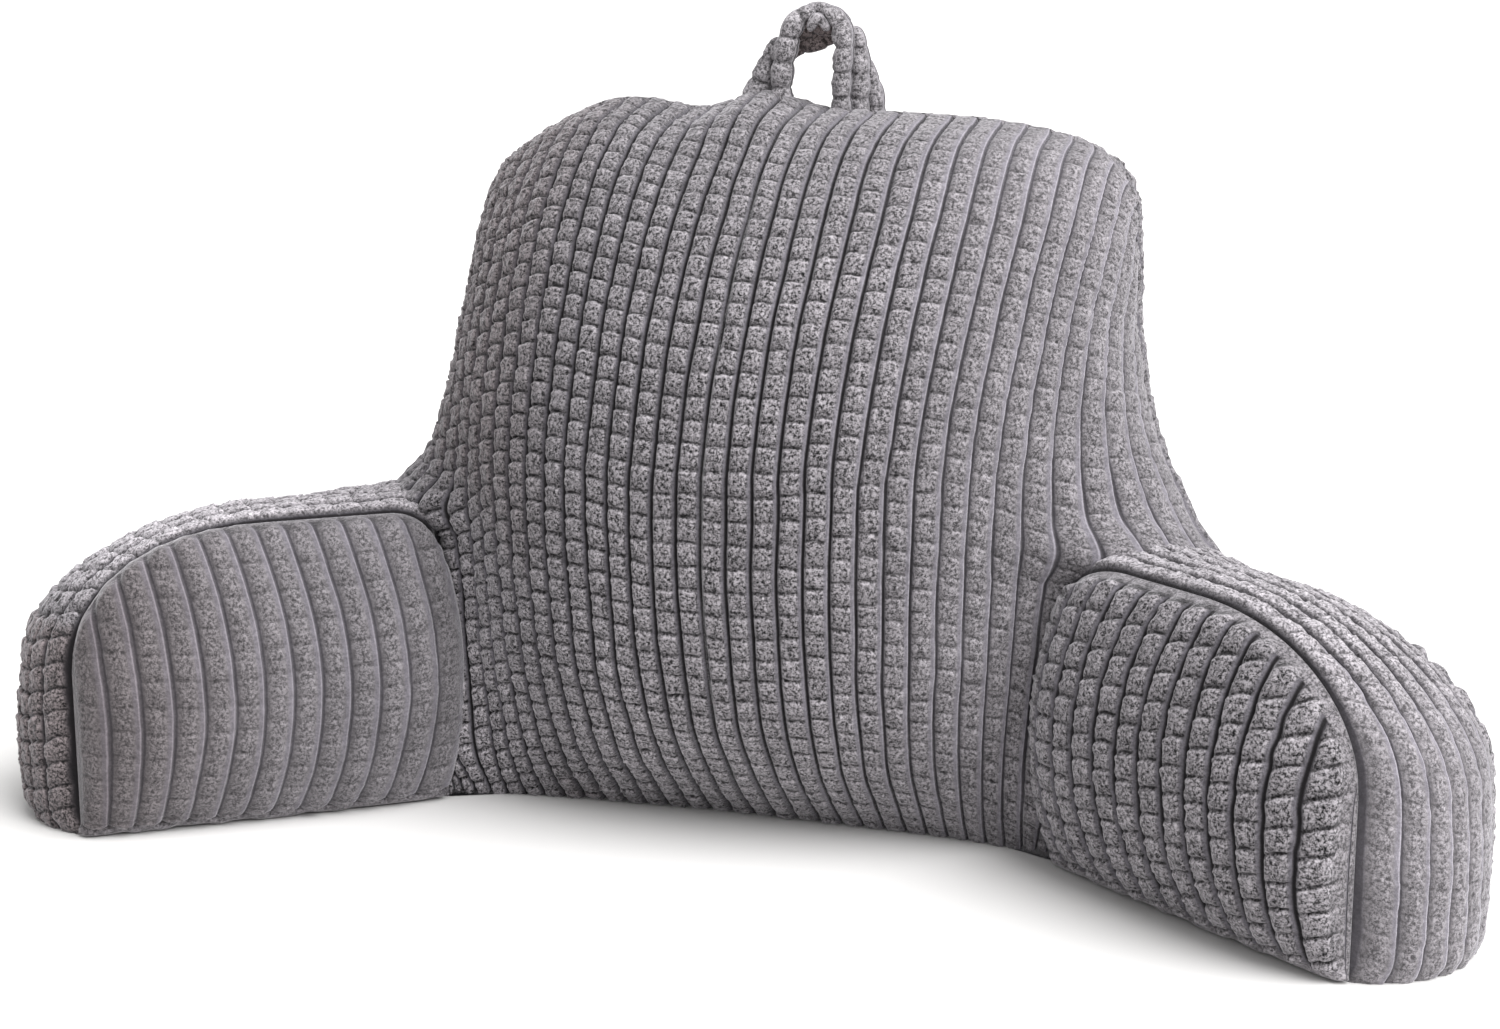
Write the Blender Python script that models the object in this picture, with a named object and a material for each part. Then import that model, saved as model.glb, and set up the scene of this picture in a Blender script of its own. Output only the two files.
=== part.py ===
"""Reading pillow with arms: a ribbed plush backrest, two splayed arms and a carry handle.

Metres, +Z up. The pillow stands on z = 0, its origin is under the middle of its box,
and the sitter faces -Y. Every cushion is one closed, filled solid whose ribs are raised
in its surface.
"""

import bmesh
import bpy
import numpy as np
from mathutils import Matrix

# Cloth
RIB_PITCH = 0.0188  # across one plush rib, valley to valley
RIB_HEIGHT = 0.0042  # crown of a rib above its valleys
CREST = (0.28, 0.72)  # where a rib's crown starts and ends, as shares of its pitch
SEAM_GAP = 0.0003  # between two pieces that are sewn together

# Backrest
BACKREST_RIBS = 36  # from side seam to side seam
MIDDLE_WIDE, MIDDLE_DEEP = 0.235, 0.175  # half width and depth that space the ribs evenly
ROUND_FRONT = 2.15  # superellipse power of the front, seen from above
ROUND_BACK = 3.0  # and of the back
ROUND_LEFT, ROUND_RIGHT = 2.45, 3.7  # superellipse powers of the shoulders, from the front
FLARE_FROM = 0.70  # share of the half width where the foot of the front starts to flare
FLARE_FORWARD = 0.8  # the flare comes forward this much for each metre that it spreads
TOP_FROM, TOP_OVER = 0.25, 0.15  # height where the top's lean and lumps start, and fade in
TOP_SHIFT = 0.0065  # the top leans over to the right
TOP_FALL = 0.0025  # the right shoulder is this much lower, and the left this much higher
TOP_FALL_WIDE = 0.060
TOP_HUMP = 0.0085  # lump of filling by the left shoulder
TOP_HUMP_AT, TOP_HUMP_WIDE = -0.125, 0.038

# One row for each height of the backrest: the middle of the front and of the back, then
# the side seam where both meet, and how far the foot of the front flares over the arms.
BACKREST_COLUMNS = (
    "front_y", "front_z", "back_y", "back_z", "seam_x", "seam_y", "seam_z", "flare",
)
BACKREST_ROWS = (
    (0.036, 0.000, 0.180, 0.000, 0.2112, 0.002, 0.000, 0.000),
    (0.004, 0.026, 0.197, 0.020, 0.2114, 0.018, 0.022, 0.000),
    (-0.026, 0.055, 0.205, 0.050, 0.2120, 0.048, 0.052, 0.000),
    (-0.054, 0.095, 0.209, 0.092, 0.2140, 0.082, 0.094, 0.000),
    (-0.070, 0.140, 0.210, 0.138, 0.2170, 0.105, 0.140, 0.000),
    (-0.077, 0.185, 0.209, 0.184, 0.2190, 0.115, 0.184, 0.000),
    (-0.078, 0.209, 0.208, 0.208, 0.2205, 0.116, 0.2085, 0.004),
    (-0.078, 0.217, 0.208, 0.216, 0.2210, 0.117, 0.2125, 0.044),
    (-0.077, 0.242, 0.206, 0.241, 0.2220, 0.118, 0.232, 0.020),
    (-0.070, 0.278, 0.203, 0.276, 0.2220, 0.119, 0.262, 0.0085),
    (-0.056, 0.318, 0.199, 0.314, 0.2220, 0.120, 0.292, 0.003),
    (-0.035, 0.356, 0.195, 0.352, 0.2205, 0.121, 0.322, 0.000),
    (-0.008, 0.392, 0.191, 0.388, 0.2190, 0.122, 0.348, 0.000),
    (0.026, 0.422, 0.185, 0.419, 0.2170, 0.122, 0.366, 0.000),
    (0.070, 0.444, 0.168, 0.442, 0.2150, 0.122, 0.377, 0.000),
    (0.118, 0.452, 0.118, 0.452, 0.2135, 0.122, 0.381, 0.000),
)

# Arms
JOIN_X = 0.2108  # where an arm's inner panel meets the front of the backrest
ARM_TURN = np.radians(35.9)  # inner panel, turned out from straight across to forward
ARM_LENGTH = 0.236
ARM_HEIGHT = 0.198
ARM_BAND_RIBS = 7
ARM_BAND = 0.107  # from the inner panel's seam to the outer one's
BAND_ARCH = 0.7  # power of the band's swell between its seams
TOP_CROWN, TOE_CROWN = 0.004, 0.030  # swell of the band over the arm and round its toe
TOE_TUCK = 0.75  # share of the toe's swell that is gone at the top of the arm
OUTER_FALL = 0.020  # the arm is this much lower at its outer seam
FALL_BY = 0.4  # share of its length from where it is: at the rear it isn't
REAR_SLANT, REAR_BEND = 0.20, 3.1  # the arm's rear follows the side of the backrest back
REAR_FOOT_BEND, REAR_FOOT_HIGH = 1.6, 0.080  # and further back near the floor
TOE_LONG, TOE_HIGH, TOE_ROUND = 0.130, 0.089, 2.2  # rounded front of the arm's outline
HEEL_LONG, HEEL_HIGH = 0.030, 0.024  # rounded top at its rear, beside the inner seam
HEEL_GONE_BY = 0.35  # share of the band where that rounding has run out

# From the toe's widest point down and under it: share of the length, and height
TOE_FOOT = ((1.0, 0.075), (0.997, 0.040), (0.990, 0.015), (0.965, 0.0))
UNDER_SHARES = (0.70, 0.35, 0.0)
REAR_HEIGHTS = (0.06, 0.12)

# Arm panels
PANEL_ROWS = 12
PANEL_RIM = 0.005  # an arm panel's depth at its seam
PANEL_BELOW = 0.002  # its lower edge above the floor
INNER_CROWN, OUTER_CROWN = 0.036, 0.026
CROWN_ENDS, CROWN_ENDS_ROUND, CROWN_EDGES_ROUND = 4, 0.6, 0.8  # powers of the crown's dome
PANEL_OVERHANG = 0.013  # the inner panel bulges past the join, against the backrest
OVERHANG_FADE = 6  # power that keeps the overhang beside the join
LEAN_REAR, LEAN_ALL = 0.0132, 0.003  # rib tops lean to the toe, most beside the join
LEAN_FADE = 0.060
LEAN_PIVOT = 0.4  # the ribs bow out below the squared height that this gives

# Carry handle
STRAP_WIDE, STRAP_THICK = 0.034, 0.014
STRAP_STEPS = 30
STRAP_EDGE = ((-0.5, 0.15), (-0.40, 0.48), (-0.12, 0.48), (0.0, 0.22),
              (0.12, 0.48), (0.40, 0.48), (0.5, 0.15))  # two ribs, as shares across and up
HANDLE_COLUMNS = ("x", "y", "z", "turn", "wide")
HANDLE_ROWS = (
    (-0.0220, 0.122, 0.4578, 0.0, 1.00),
    (-0.0195, 0.122, 0.4710, 8.0, 0.86),
    (-0.0115, 0.123, 0.4870, 25.0, 0.68),
    (-0.0010, 0.124, 0.5000, 40.0, 0.68),
    (0.0120, 0.125, 0.5060, 45.0, 0.78),
    (0.0240, 0.125, 0.5000, 40.0, 0.70),
    (0.0320, 0.124, 0.4870, 25.0, 0.68),
    (0.0405, 0.123, 0.4700, 8.0, 0.84),
    (0.0440, 0.122, 0.4555, 0.0, 1.00),
)

PLUSH_GREY = (0.205, 0.195, 0.200, 1.0)
PLUSH_ROUGHNESS = 0.95
MERGE_WITHIN = 1e-6

COLLECTION = "reading_pillow_with_arms"


def clear_scene():
    """Removes every object of the startup scene."""
    for thing in list(bpy.data.objects):
        bpy.data.objects.remove(thing, do_unlink=True)


def plush(name):
    """A matt grey material for one piece of plush."""
    material = bpy.data.materials.new(name)
    material.use_nodes = True
    shader = material.node_tree.nodes["Principled BSDF"]
    shader.inputs["Base Color"].default_value = PLUSH_GREY
    shader.inputs["Roughness"].default_value = PLUSH_ROUGHNESS
    shader.inputs["Metallic"].default_value = 0.0
    return material


def column(rows, names, name):
    """One named column of a table."""
    return np.array([row[names.index(name)] for row in rows])


def smooth_through(values, count):
    """A Catmull-Rom curve through evenly numbered values, read at count even steps."""
    padded = np.array([2 * values[0] - values[1], *values, 2 * values[-1] - values[-2]])
    places = np.linspace(0, len(values) - 1, count)
    first = np.minimum(places.astype(int), len(values) - 2)
    t = places - first
    a, b, c, d = (padded[first + k] for k in range(4))
    return 0.5 * (
        2 * b + (c - a) * t + (2 * a - 5 * b + 4 * c - d) * t**2
        + (3 * b - a - 3 * c + d) * t**3
    )


def rounded(share, power):
    """Height of a superellipse at a share of its half width: 1 in the middle, 0 at an end."""
    return np.clip(1 - np.abs(share) ** power, 0, 1) ** (1 / power)


def rib_columns(ribs):
    """Shares 0 to 1 across a panel of so many ribs, and the rib height at each."""
    shares, heights = [0.0], [0.0]
    for rib in range(ribs):
        for part, height in ((CREST[0], RIB_HEIGHT), (CREST[1], RIB_HEIGHT), (1.0, 0.0)):
            shares.append((rib + part) / ribs)
            heights.append(height)
    return np.array(shares), np.array(heights)


def grid_normals(grid):
    """Unit normals of a grid of points, from the central differences along both ways."""
    normals = np.cross(np.gradient(grid, axis=1), np.gradient(grid, axis=0))
    return normals / np.maximum(np.linalg.norm(normals, axis=2, keepdims=True), 1e-12)


def quads(first, rows, columns):
    """Faces of a grid whose points are numbered row by row from first."""
    corners = [first + r * columns + c for r in range(rows - 1) for c in range(columns - 1)]
    return [(k, k + 1, k + columns + 1, k + columns) for k in corners]


def tube_faces(rings, loop):
    """Faces of closed rings of points joined one to the next, with a cap on either end."""
    faces = [tuple(range(loop)), tuple((rings - 1) * loop + k for k in range(loop))]
    for first in range(0, (rings - 1) * loop, loop):
        for k in range(loop):
            after = (k + 1) % loop
            faces.append((first + k, first + after, first + loop + after, first + loop + k))
    return faces


def solid_from(name, points, faces, collection):
    """An object from points and faces, its equal points merged and its faces turned out."""
    mesh = bpy.data.meshes.new(name)
    shape = bmesh.new()
    corners = [shape.verts.new(tuple(point)) for point in points]
    for face in faces:
        shape.faces.new([corners[k] for k in face])
    bmesh.ops.remove_doubles(shape, verts=shape.verts, dist=MERGE_WITHIN)
    bmesh.ops.dissolve_degenerate(shape, edges=shape.edges, dist=MERGE_WITHIN)
    bmesh.ops.recalc_face_normals(shape, faces=shape.faces)
    shape.to_mesh(mesh)
    shape.free()
    mesh.shade_smooth()
    mesh.materials.append(plush(name + "_plush"))
    collection.objects.link(bpy.data.objects.new(name, mesh))


def even_across(shares):
    """Places from -1 to 1 across the backrest, at these shares of its curved front's length."""
    angles = np.linspace(-np.pi / 2, np.pi / 2, 2001)
    across = np.sign(np.sin(angles)) * np.abs(np.sin(angles)) ** (2 / ROUND_FRONT)
    forward = rounded(across, ROUND_FRONT)
    steps = np.hypot(np.diff(across) * MIDDLE_WIDE, np.diff(forward) * MIDDLE_DEEP)
    length = np.concatenate([[0], np.cumsum(steps)])
    return np.interp(shares, length / length[-1], across)


def backrest_half(half, across, heights):
    """Grid of the front or back of the backrest, floor to crest, with its ribs raised."""
    row = {name: column(BACKREST_ROWS, BACKREST_COLUMNS, name)[:, None]
           for name in BACKREST_COLUMNS}
    wide = np.abs(across)
    depth = rounded(wide, ROUND_FRONT if half == "front" else ROUND_BACK)
    rise = np.where(across < 0, rounded(wide, ROUND_LEFT), rounded(wide, ROUND_RIGHT))
    flare = row["flare"] * np.clip((wide - FLARE_FROM) / (1 - FLARE_FROM), 0, 1) ** 2
    x = across * row["seam_x"] + np.sign(across) * flare
    y = row["seam_y"] + (row[half + "_y"] - row["seam_y"]) * depth - FLARE_FORWARD * flare
    z = row["seam_z"] + (row[half + "_z"] - row["seam_z"]) * rise
    top = np.clip((z - TOP_FROM) / TOP_OVER, 0, 1)
    x = x + TOP_SHIFT * top
    hump = TOP_HUMP * np.exp(-(((x - TOP_HUMP_AT) / TOP_HUMP_WIDE) ** 2))
    z = z + top * (hump - TOP_FALL * np.tanh(x / TOP_FALL_WIDE))
    grid = np.stack([x, y, z], axis=2)
    normals = grid_normals(grid) * (1 if half == "front" else -1)
    normals[0, :, 2] = 0
    return grid + normals * heights[None, :, None]


def make_backrest(collection):
    """The backrest: a front and a back that meet at the side seams and over the crest."""
    shares, heights = rib_columns(BACKREST_RIBS)
    across = even_across(shares)
    front = backrest_half("front", across, heights)
    back = backrest_half("back", across, heights)
    crest = (front[-1] + back[-1]) / 2
    sides = (front[:, [0, -1]] + back[:, [0, -1]]) / 2
    for half in (front, back):
        half[-1] = crest
        half[:-1, [0, -1]] = sides[:-1]
    rows, columns = front.shape[:2]
    count = rows * columns
    points = np.concatenate([front.reshape(-1, 3), back.reshape(-1, 3)])
    faces = quads(0, rows, columns) + quads(count, rows, columns)
    faces += [(c, c + 1, count + c + 1, count + c) for c in range(columns - 1)]
    solid_from("backrest", points, faces, collection)


def arm_axes(side):
    """Where an arm starts, the way along it, and the way out to its outer panel."""
    start = np.array([side * JOIN_X, 0, 0])
    along = np.array([side * np.cos(ARM_TURN), -np.sin(ARM_TURN), 0])
    outward = np.array([side * np.sin(ARM_TURN), np.cos(ARM_TURN), 0])
    return start, along, outward


def outline_top(share, heel):
    """Height of the arm's outline at a share of its length, with so much of its round heel."""
    s = share * ARM_LENGTH
    toe = np.clip((s - (ARM_LENGTH - TOE_LONG)) / TOE_LONG, 0, 1)
    behind = np.clip((HEEL_LONG - s) / HEEL_LONG, 0, 1)
    height = ARM_HEIGHT - TOE_HIGH * (1 - np.sqrt(np.clip(1 - toe**TOE_ROUND, 0, 1)))
    return height - heel * HEEL_HIGH * (1 - np.sqrt(1 - behind**2))


def outer_fall(share, along, z):
    """How far a point of the arm lies lower for its share of the way to the outer seam."""
    return OUTER_FALL * share**2 * np.minimum(1, along / FALL_BY) * z / ARM_HEIGHT


def rear_of_arm(across, z):
    """Where the arm ends against the backrest, so far from its inner seam, at a height."""
    foot = np.clip(1 - z / REAR_FOOT_HIGH, 0, 1)
    return -across * (REAR_SLANT + across * (REAR_BEND + REAR_FOOT_BEND * foot))


def arm_outline(heel):
    """Closed outline of the arm from its side, clockwise from the top of its rear."""
    toe_from = 1 - TOE_LONG / ARM_LENGTH
    heel_to = HEEL_LONG / ARM_LENGTH
    shares = np.concatenate([
        np.linspace(0, heel_to, 4),
        np.linspace(heel_to, toe_from, 5)[1:-1],
        toe_from + (1 - toe_from) * np.sin(np.linspace(0, np.pi / 2, 9)),
    ])
    over = list(zip(shares, outline_top(shares, heel)))
    under = [(share, 0.0) for share in UNDER_SHARES]
    rear = [(0.0, height) for height in REAR_HEIGHTS]
    return np.array(over + list(TOE_FOOT) + under + rear)


def make_arm_band(name, side, collection):
    """The filled arm between its two side panels: ribs run round its outline."""
    start, along, outward = arm_axes(side)
    shares, heights = rib_columns(ARM_BAND_RIBS)
    rings = []
    for share, height in zip(shares, heights):
        across = share * ARM_BAND
        arch = (1 - (2 * share - 1) ** 2) ** BAND_ARCH
        s, z = arm_outline(heel=max(0.0, 1 - share / HEEL_GONE_BY)).T
        ahead_s = (np.roll(s, -1) - np.roll(s, 1)) * ARM_LENGTH
        ahead_z = np.roll(z, -1) - np.roll(z, 1)
        out_s, out_z = np.array([-ahead_z, ahead_s]) / np.hypot(ahead_s, ahead_z)
        rear = rear_of_arm(across, z)
        swell = arch * TOE_CROWN * s**3 * (1 - TOE_TUCK * (z / ARM_HEIGHT) ** 2)
        reach = rear + s * (ARM_LENGTH - rear) + swell + np.where(s > 0, out_s * height, 0)
        lift = out_z * (height + arch * TOP_CROWN) - outer_fall(share, s, z)
        ring = start + outward * across + np.outer(reach, along)
        ring[:, 2] = z + np.where(z > 0, lift, 0)
        rings.append(ring)
    faces = tube_faces(len(rings), len(rings[0]))
    solid_from(name, np.concatenate(rings), faces, collection)


def make_arm_panel(name, side, inner, collection):
    """A D-shaped side panel, crowned by the filling behind it, with upright ribs."""
    start, along, outward = arm_axes(side)
    across = -SEAM_GAP if inner else ARM_BAND + SEAM_GAP
    rows = np.linspace(0, 1, PANEL_ROWS)[:, None]
    longest = ARM_LENGTH - (SEAM_GAP if inner else rear_of_arm(ARM_BAND, ARM_HEIGHT))
    shares, heights = rib_columns(round(longest / RIB_PITCH))
    top = outline_top(shares, heel=1.0 if inner else 0.0)
    if not inner:
        top = top - outer_fall(1.0, shares, top)
    z = PANEL_BELOW + rows * (top - PANEL_BELOW)
    rear = SEAM_GAP if inner else rear_of_arm(ARM_BAND, z)
    seam_s = rear + shares * (ARM_LENGTH - rear) + np.zeros_like(z)
    q_s, q_z = 2 * shares - 1, 2 * rows - 1
    dome = (1 - np.abs(q_s) ** CROWN_ENDS) ** CROWN_ENDS_ROUND * (1 - q_z**2) ** CROWN_EDGES_ROUND
    crown = PANEL_RIM + dome * (INNER_CROWN if inner else OUTER_CROWN)
    lean = LEAN_ALL + LEAN_REAR * np.exp(-shares * longest / LEAN_FADE)
    s = seam_s + (1 - q_s**2) * lean * (q_z**2 - LEAN_PIVOT)
    if inner:
        s = s - PANEL_OVERHANG * (1 - q_z**2) * (1 - shares) ** OVERHANG_FADE
    base = np.stack([s, z, crown], axis=2)
    normals = grid_normals(base)
    normals *= np.sign(normals[:, :, 2:3])
    edge = np.minimum(1, 4 * np.minimum(rows, 1 - rows))
    front = base + normals * (heights * edge)[:, :, None]
    back = np.stack([seam_s, z, np.zeros_like(z)], axis=2)
    last_row, last = PANEL_ROWS - 1, len(shares) - 1
    rim = (
        [(0, c) for c in range(last)] + [(r, last) for r in range(last_row)]
        + [(last_row, c) for c in range(last, 0, -1)] + [(r, 0) for r in range(last_row, 0, -1)]
    )
    count = front.shape[0] * front.shape[1]
    face_out = -outward if inner else outward
    local = np.concatenate([front.reshape(-1, 3), [back[place] for place in rim]])
    points = start + outward * across + np.outer(local[:, 0], along) + np.outer(local[:, 2], face_out)
    points[:, 2] = local[:, 1]
    faces = quads(0, *front.shape[:2])
    faces.append(tuple(range(count, count + len(rim))))
    for k, (row, place) in enumerate(rim):
        after = (k + 1) % len(rim)
        a, b = row * len(shares) + place, rim[after][0] * len(shares) + rim[after][1]
        faces.append((a, b, count + after, count + k))
    solid_from(name, points, faces, collection)


def make_handle(collection):
    """A ribbed strap that stands on the crest as a loop and turns half edge-on at its apex."""
    x, y, z, turn, wide = (
        smooth_through(column(HANDLE_ROWS, HANDLE_COLUMNS, name), STRAP_STEPS)
        for name in HANDLE_COLUMNS
    )
    path = np.stack([x, y, z], axis=1)
    tangents = np.gradient(path, axis=0)
    tangents[0], tangents[-1] = (0, 0, 1), (0, 0, -1)
    tangents /= np.linalg.norm(tangents, axis=1, keepdims=True)
    upper = np.array(STRAP_EDGE)
    section = np.concatenate([upper, upper[::-1] * (1, -1)])
    backward = np.array([0.0, 1.0, 0.0])
    rings = []
    for place, tangent, angle, width in zip(path, tangents, np.radians(turn), wide):
        in_plane = np.cross(backward, tangent)
        in_plane /= np.linalg.norm(in_plane)
        across = in_plane * np.cos(angle) + backward * np.sin(angle)
        up = np.cross(tangent, across)
        rings.append(place + np.outer(section[:, 0] * STRAP_WIDE * width, across)
                     + np.outer(section[:, 1] * STRAP_THICK, up))
    faces = tube_faces(len(rings), len(section))
    solid_from("carry_handle", np.concatenate(rings), faces, collection)


def stand_on_origin(collection):
    """Moves every mesh so that the origin is under the middle of the whole box."""
    points = [vertex.co for thing in collection.objects for vertex in thing.data.vertices]
    low, high = np.min(points, axis=0), np.max(points, axis=0)
    middle = (low + high) / 2
    for thing in collection.objects:
        thing.data.transform(Matrix.Translation((-middle[0], -middle[1], -low[2])))


def main():
    """Makes every piece in its own collection."""
    clear_scene()
    collection = bpy.data.collections.new(COLLECTION)
    bpy.context.scene.collection.children.link(collection)
    make_backrest(collection)
    for side, word in ((1, "right"), (-1, "left")):
        make_arm_band(f"arm_{word}", side, collection)
        make_arm_panel(f"arm_panel_inner_{word}", side, True, collection)
        make_arm_panel(f"arm_panel_outer_{word}", side, False, collection)
    make_handle(collection)
    stand_on_origin(collection)


main()
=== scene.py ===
"""Grey plush reading pillow with arms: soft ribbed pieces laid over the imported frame."""
import logging
from dataclasses import dataclass, field
from enum import Enum
from functools import partial
from typing import Any

import bpy
import numpy as np
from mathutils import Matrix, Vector


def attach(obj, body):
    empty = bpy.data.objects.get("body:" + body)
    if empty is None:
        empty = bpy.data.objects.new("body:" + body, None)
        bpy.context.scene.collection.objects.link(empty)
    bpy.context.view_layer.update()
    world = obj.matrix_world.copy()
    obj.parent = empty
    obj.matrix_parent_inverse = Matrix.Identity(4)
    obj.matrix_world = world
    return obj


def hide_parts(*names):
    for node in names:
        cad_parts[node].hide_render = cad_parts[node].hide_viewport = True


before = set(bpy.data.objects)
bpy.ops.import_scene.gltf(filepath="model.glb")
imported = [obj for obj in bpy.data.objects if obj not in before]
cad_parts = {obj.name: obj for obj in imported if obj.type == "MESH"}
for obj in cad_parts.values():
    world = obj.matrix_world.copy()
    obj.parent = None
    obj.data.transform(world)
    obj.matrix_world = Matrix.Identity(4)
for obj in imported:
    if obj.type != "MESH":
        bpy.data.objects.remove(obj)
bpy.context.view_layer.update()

LOG = logging.getLogger("reading_pillow")
STAND = np.array([0.0, -0.0296, 0.0])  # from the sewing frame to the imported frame
RIB_PITCH = 0.0188  # wide-wale plush, about 19 mm from valley to valley
TUFT_LONG = 0.0163  # from one parting of a rib to the next
SEAM_GAP = 0.0003

# Factors that scatter whole-numbered places into repeatable noise
COLUMN_FACTOR, ROW_FACTOR, SEED_FACTOR, SPREAD_FACTOR = 73856093, 19349663, 83492791, 1274126177

# What walls and caps inside the filling say to the finish
HIDDEN = {"ribs": 0.4, "tufts": 0.5, "pile": 0.5, "lit": 0.5, "nap": 1.0, "sharp": 0.0}
PILE_WORDS = ("pile", "lit", "nap", "sharp")
RIB_MAP = "ribs_and_tufts"  # UV map: U counts ribs, V counts tufts

# Kinds of node, and the settings that they are used with
MATH, RANGE, MIX = "ShaderNodeMath", "ShaderNodeMapRange", "ShaderNodeMix"
PLUS, LESS, TIMES = {"operation": "ADD"}, {"operation": "SUBTRACT"}, {"operation": "MULTIPLY"}
TIMES_PLUS, REST = {"operation": "MULTIPLY_ADD"}, {"operation": "FRACT"}
LEAST, MOST, APART = {"operation": "MINIMUM"}, {"operation": "MAXIMUM"}, {"operation": "ABSOLUTE"}
SMOOTH = {"interpolation_type": "SMOOTHSTEP"}
NUMBERS = {"data_type": "FLOAT"}
COLOURS = {"data_type": "RGBA", "blend_type": "MIX"}
TINTED = {"data_type": "RGBA", "blend_type": "MULTIPLY"}
RISING, FALLING = (0.0, 1.0), (1.0, 0.0)

Span = tuple[float, float]


class Half(Enum):
    """The two cloths of the backrest."""

    FRONT = "front"
    BACK = "back"


class Side(Enum):
    """The two arms, by the sign of their x."""

    RIGHT = 1
    LEFT = -1


class Panel(Enum):
    """The two side panels of an arm."""

    INNER = "inner"
    OUTER = "outer"


def linear(code: str) -> tuple[float, float, float, float]:
    """Turns an sRGB hex colour to linear light.

    Args:
        code: The colour, such as "#676467".

    Returns:
        Linear red, green, blue and alpha.
    """
    parts = [int(code[k : k + 2], 16) / 255 for k in (1, 3, 5)]
    red, green, blue = (p / 12.92 if p <= 0.04045 else ((p + 0.055) / 1.055) ** 2.4 for p in parts)
    return red, green, blue, 1.0


def step_up(value: Any, low: float, high: float) -> Any:
    """A smooth rise from 0 at low to 1 at high."""
    share = np.clip((value - low) / (high - low), 0, 1)
    return share * share * (3 - 2 * share)


def hill(value: Any, middle: float, wide: float) -> Any:
    """A smooth bump, 1 at its middle and gone about two widths away."""
    return np.exp(-(((value - middle) / wide) ** 2))


def rounded(share: np.ndarray, power: float) -> np.ndarray:
    """Height of a superellipse at a share of its half width: 1 in the middle, 0 at an end."""
    return np.clip(1 - np.abs(share) ** power, 0, 1) ** (1 / power)


def lattice(column: np.ndarray, row: np.ndarray, seed: int) -> np.ndarray:
    """Scattered but repeatable values for whole-numbered places.

    Args:
        column: Whole numbers along one way.
        row: Whole numbers along the other way.
        seed: Which of many patterns.

    Returns:
        A value from 0 to 1 for each place.
    """
    mixed = (column.astype(np.int64) * COLUMN_FACTOR) ^ (row.astype(np.int64) * ROW_FACTOR)
    mixed = (mixed ^ (seed * SEED_FACTOR)) & 0xFFFFFFF
    mixed = ((mixed ^ (mixed >> 13)) * SPREAD_FACTOR) & 0x7FFFFFFF
    return ((mixed ^ (mixed >> 15)) & 0xFFFF) / 65535.0


def clumps(x: np.ndarray, y: np.ndarray, size: float, seed: int) -> np.ndarray:
    """Smooth noise from -1 to 1 over a plane.

    Args:
        x: Places along one way, in metres.
        y: Places along the other way, in metres.
        size: Width of a lump, in metres.
        seed: Which of many patterns.

    Returns:
        The noise at each place.
    """
    across, up = x / size, y / size
    column, row = np.floor(across), np.floor(up)
    a, b = across - column, up - row
    a, b = a * a * (3 - 2 * a), b * b * (3 - 2 * b)
    corners = [[lattice(column + i, row + j, seed) for i in (0, 1)] for j in (0, 1)]
    low = corners[0][0] * (1 - a) + corners[0][1] * a
    high = corners[1][0] * (1 - a) + corners[1][1] * a
    return 2 * (low * (1 - b) + high * b) - 1


def monotone(places: np.ndarray, values: np.ndarray, at: np.ndarray) -> np.ndarray:
    """Smooth values between given ones, with no overshoot.

    Args:
        places: Rising places of the given values.
        values: The given values.
        at: Where values are wanted.

    Returns:
        A value for each place in at.
    """
    gaps = np.diff(places)
    slopes = np.diff(values) / gaps
    tangents = np.zeros(len(places))
    inner = slopes[:-1] * slopes[1:] > 0
    tangents[1:-1][inner] = 2 * slopes[:-1][inner] * slopes[1:][inner] / (slopes[:-1] + slopes[1:])[inner]
    tangents[0], tangents[-1] = slopes[0], slopes[-1]
    k = np.clip(np.searchsorted(places, at, side="right") - 1, 0, len(gaps) - 1)
    gap = gaps[k]
    t = (at - places[k]) / gap
    return (
        values[k] * (1 + 2 * t) * (1 - t) ** 2
        + gap * tangents[k] * t * (1 - t) ** 2
        + values[k + 1] * t * t * (3 - 2 * t)
        + gap * tangents[k + 1] * t * t * (t - 1)
    )


def facing(grid: np.ndarray) -> np.ndarray:
    """Unit normals of a grid of points, from the differences along both ways."""
    normals = np.cross(np.gradient(grid, axis=1), np.gradient(grid, axis=0))
    return normals / np.maximum(np.linalg.norm(normals, axis=2, keepdims=True), 1e-12)


def grid_faces(rows: int, columns: int) -> np.ndarray:
    """The four corners of each face of a grid of points that is numbered row by row."""
    corners = (np.arange(rows - 1)[:, None] * columns + np.arange(columns - 1)[None, :]).ravel()
    return np.stack([corners, corners + 1, corners + columns + 1, corners + columns], axis=1)


def rim_of(rows: int, columns: int) -> np.ndarray:
    """The numbers of a grid's outer points, once round it."""
    number = np.arange(rows * columns).reshape(rows, columns)
    return np.concatenate([number[0, :-1], number[:-1, -1], number[-1, :0:-1], number[:0:-1, 0]])


def closed_tube(points: np.ndarray, rows: int, columns: int) -> tuple[np.ndarray, list[np.ndarray]]:
    """Closes a tube along its length and at both ends.

    Args:
        points: The points of all its rings, ring by ring.
        rows: How many rings it has.
        columns: How many points a ring has.

    Returns:
        The middle points of its two ends, and all the faces.
    """
    count = rows * columns
    last = count - columns
    ring = np.arange(columns)
    after = np.roll(ring, -1)
    turn = np.arange(rows - 1) * columns
    closing = np.stack([turn + columns - 1, turn, turn + columns, turn + 2 * columns - 1], axis=1)
    near = np.stack([after, ring, np.full(columns, count)], axis=1)
    far = np.stack([last + ring, last + after, np.full(columns, count + 1)], axis=1)
    ends = np.array([points[:columns].mean(axis=0), points[last:].mean(axis=0)])
    return ends, [grid_faces(rows, columns), closing, near, far]


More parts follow.
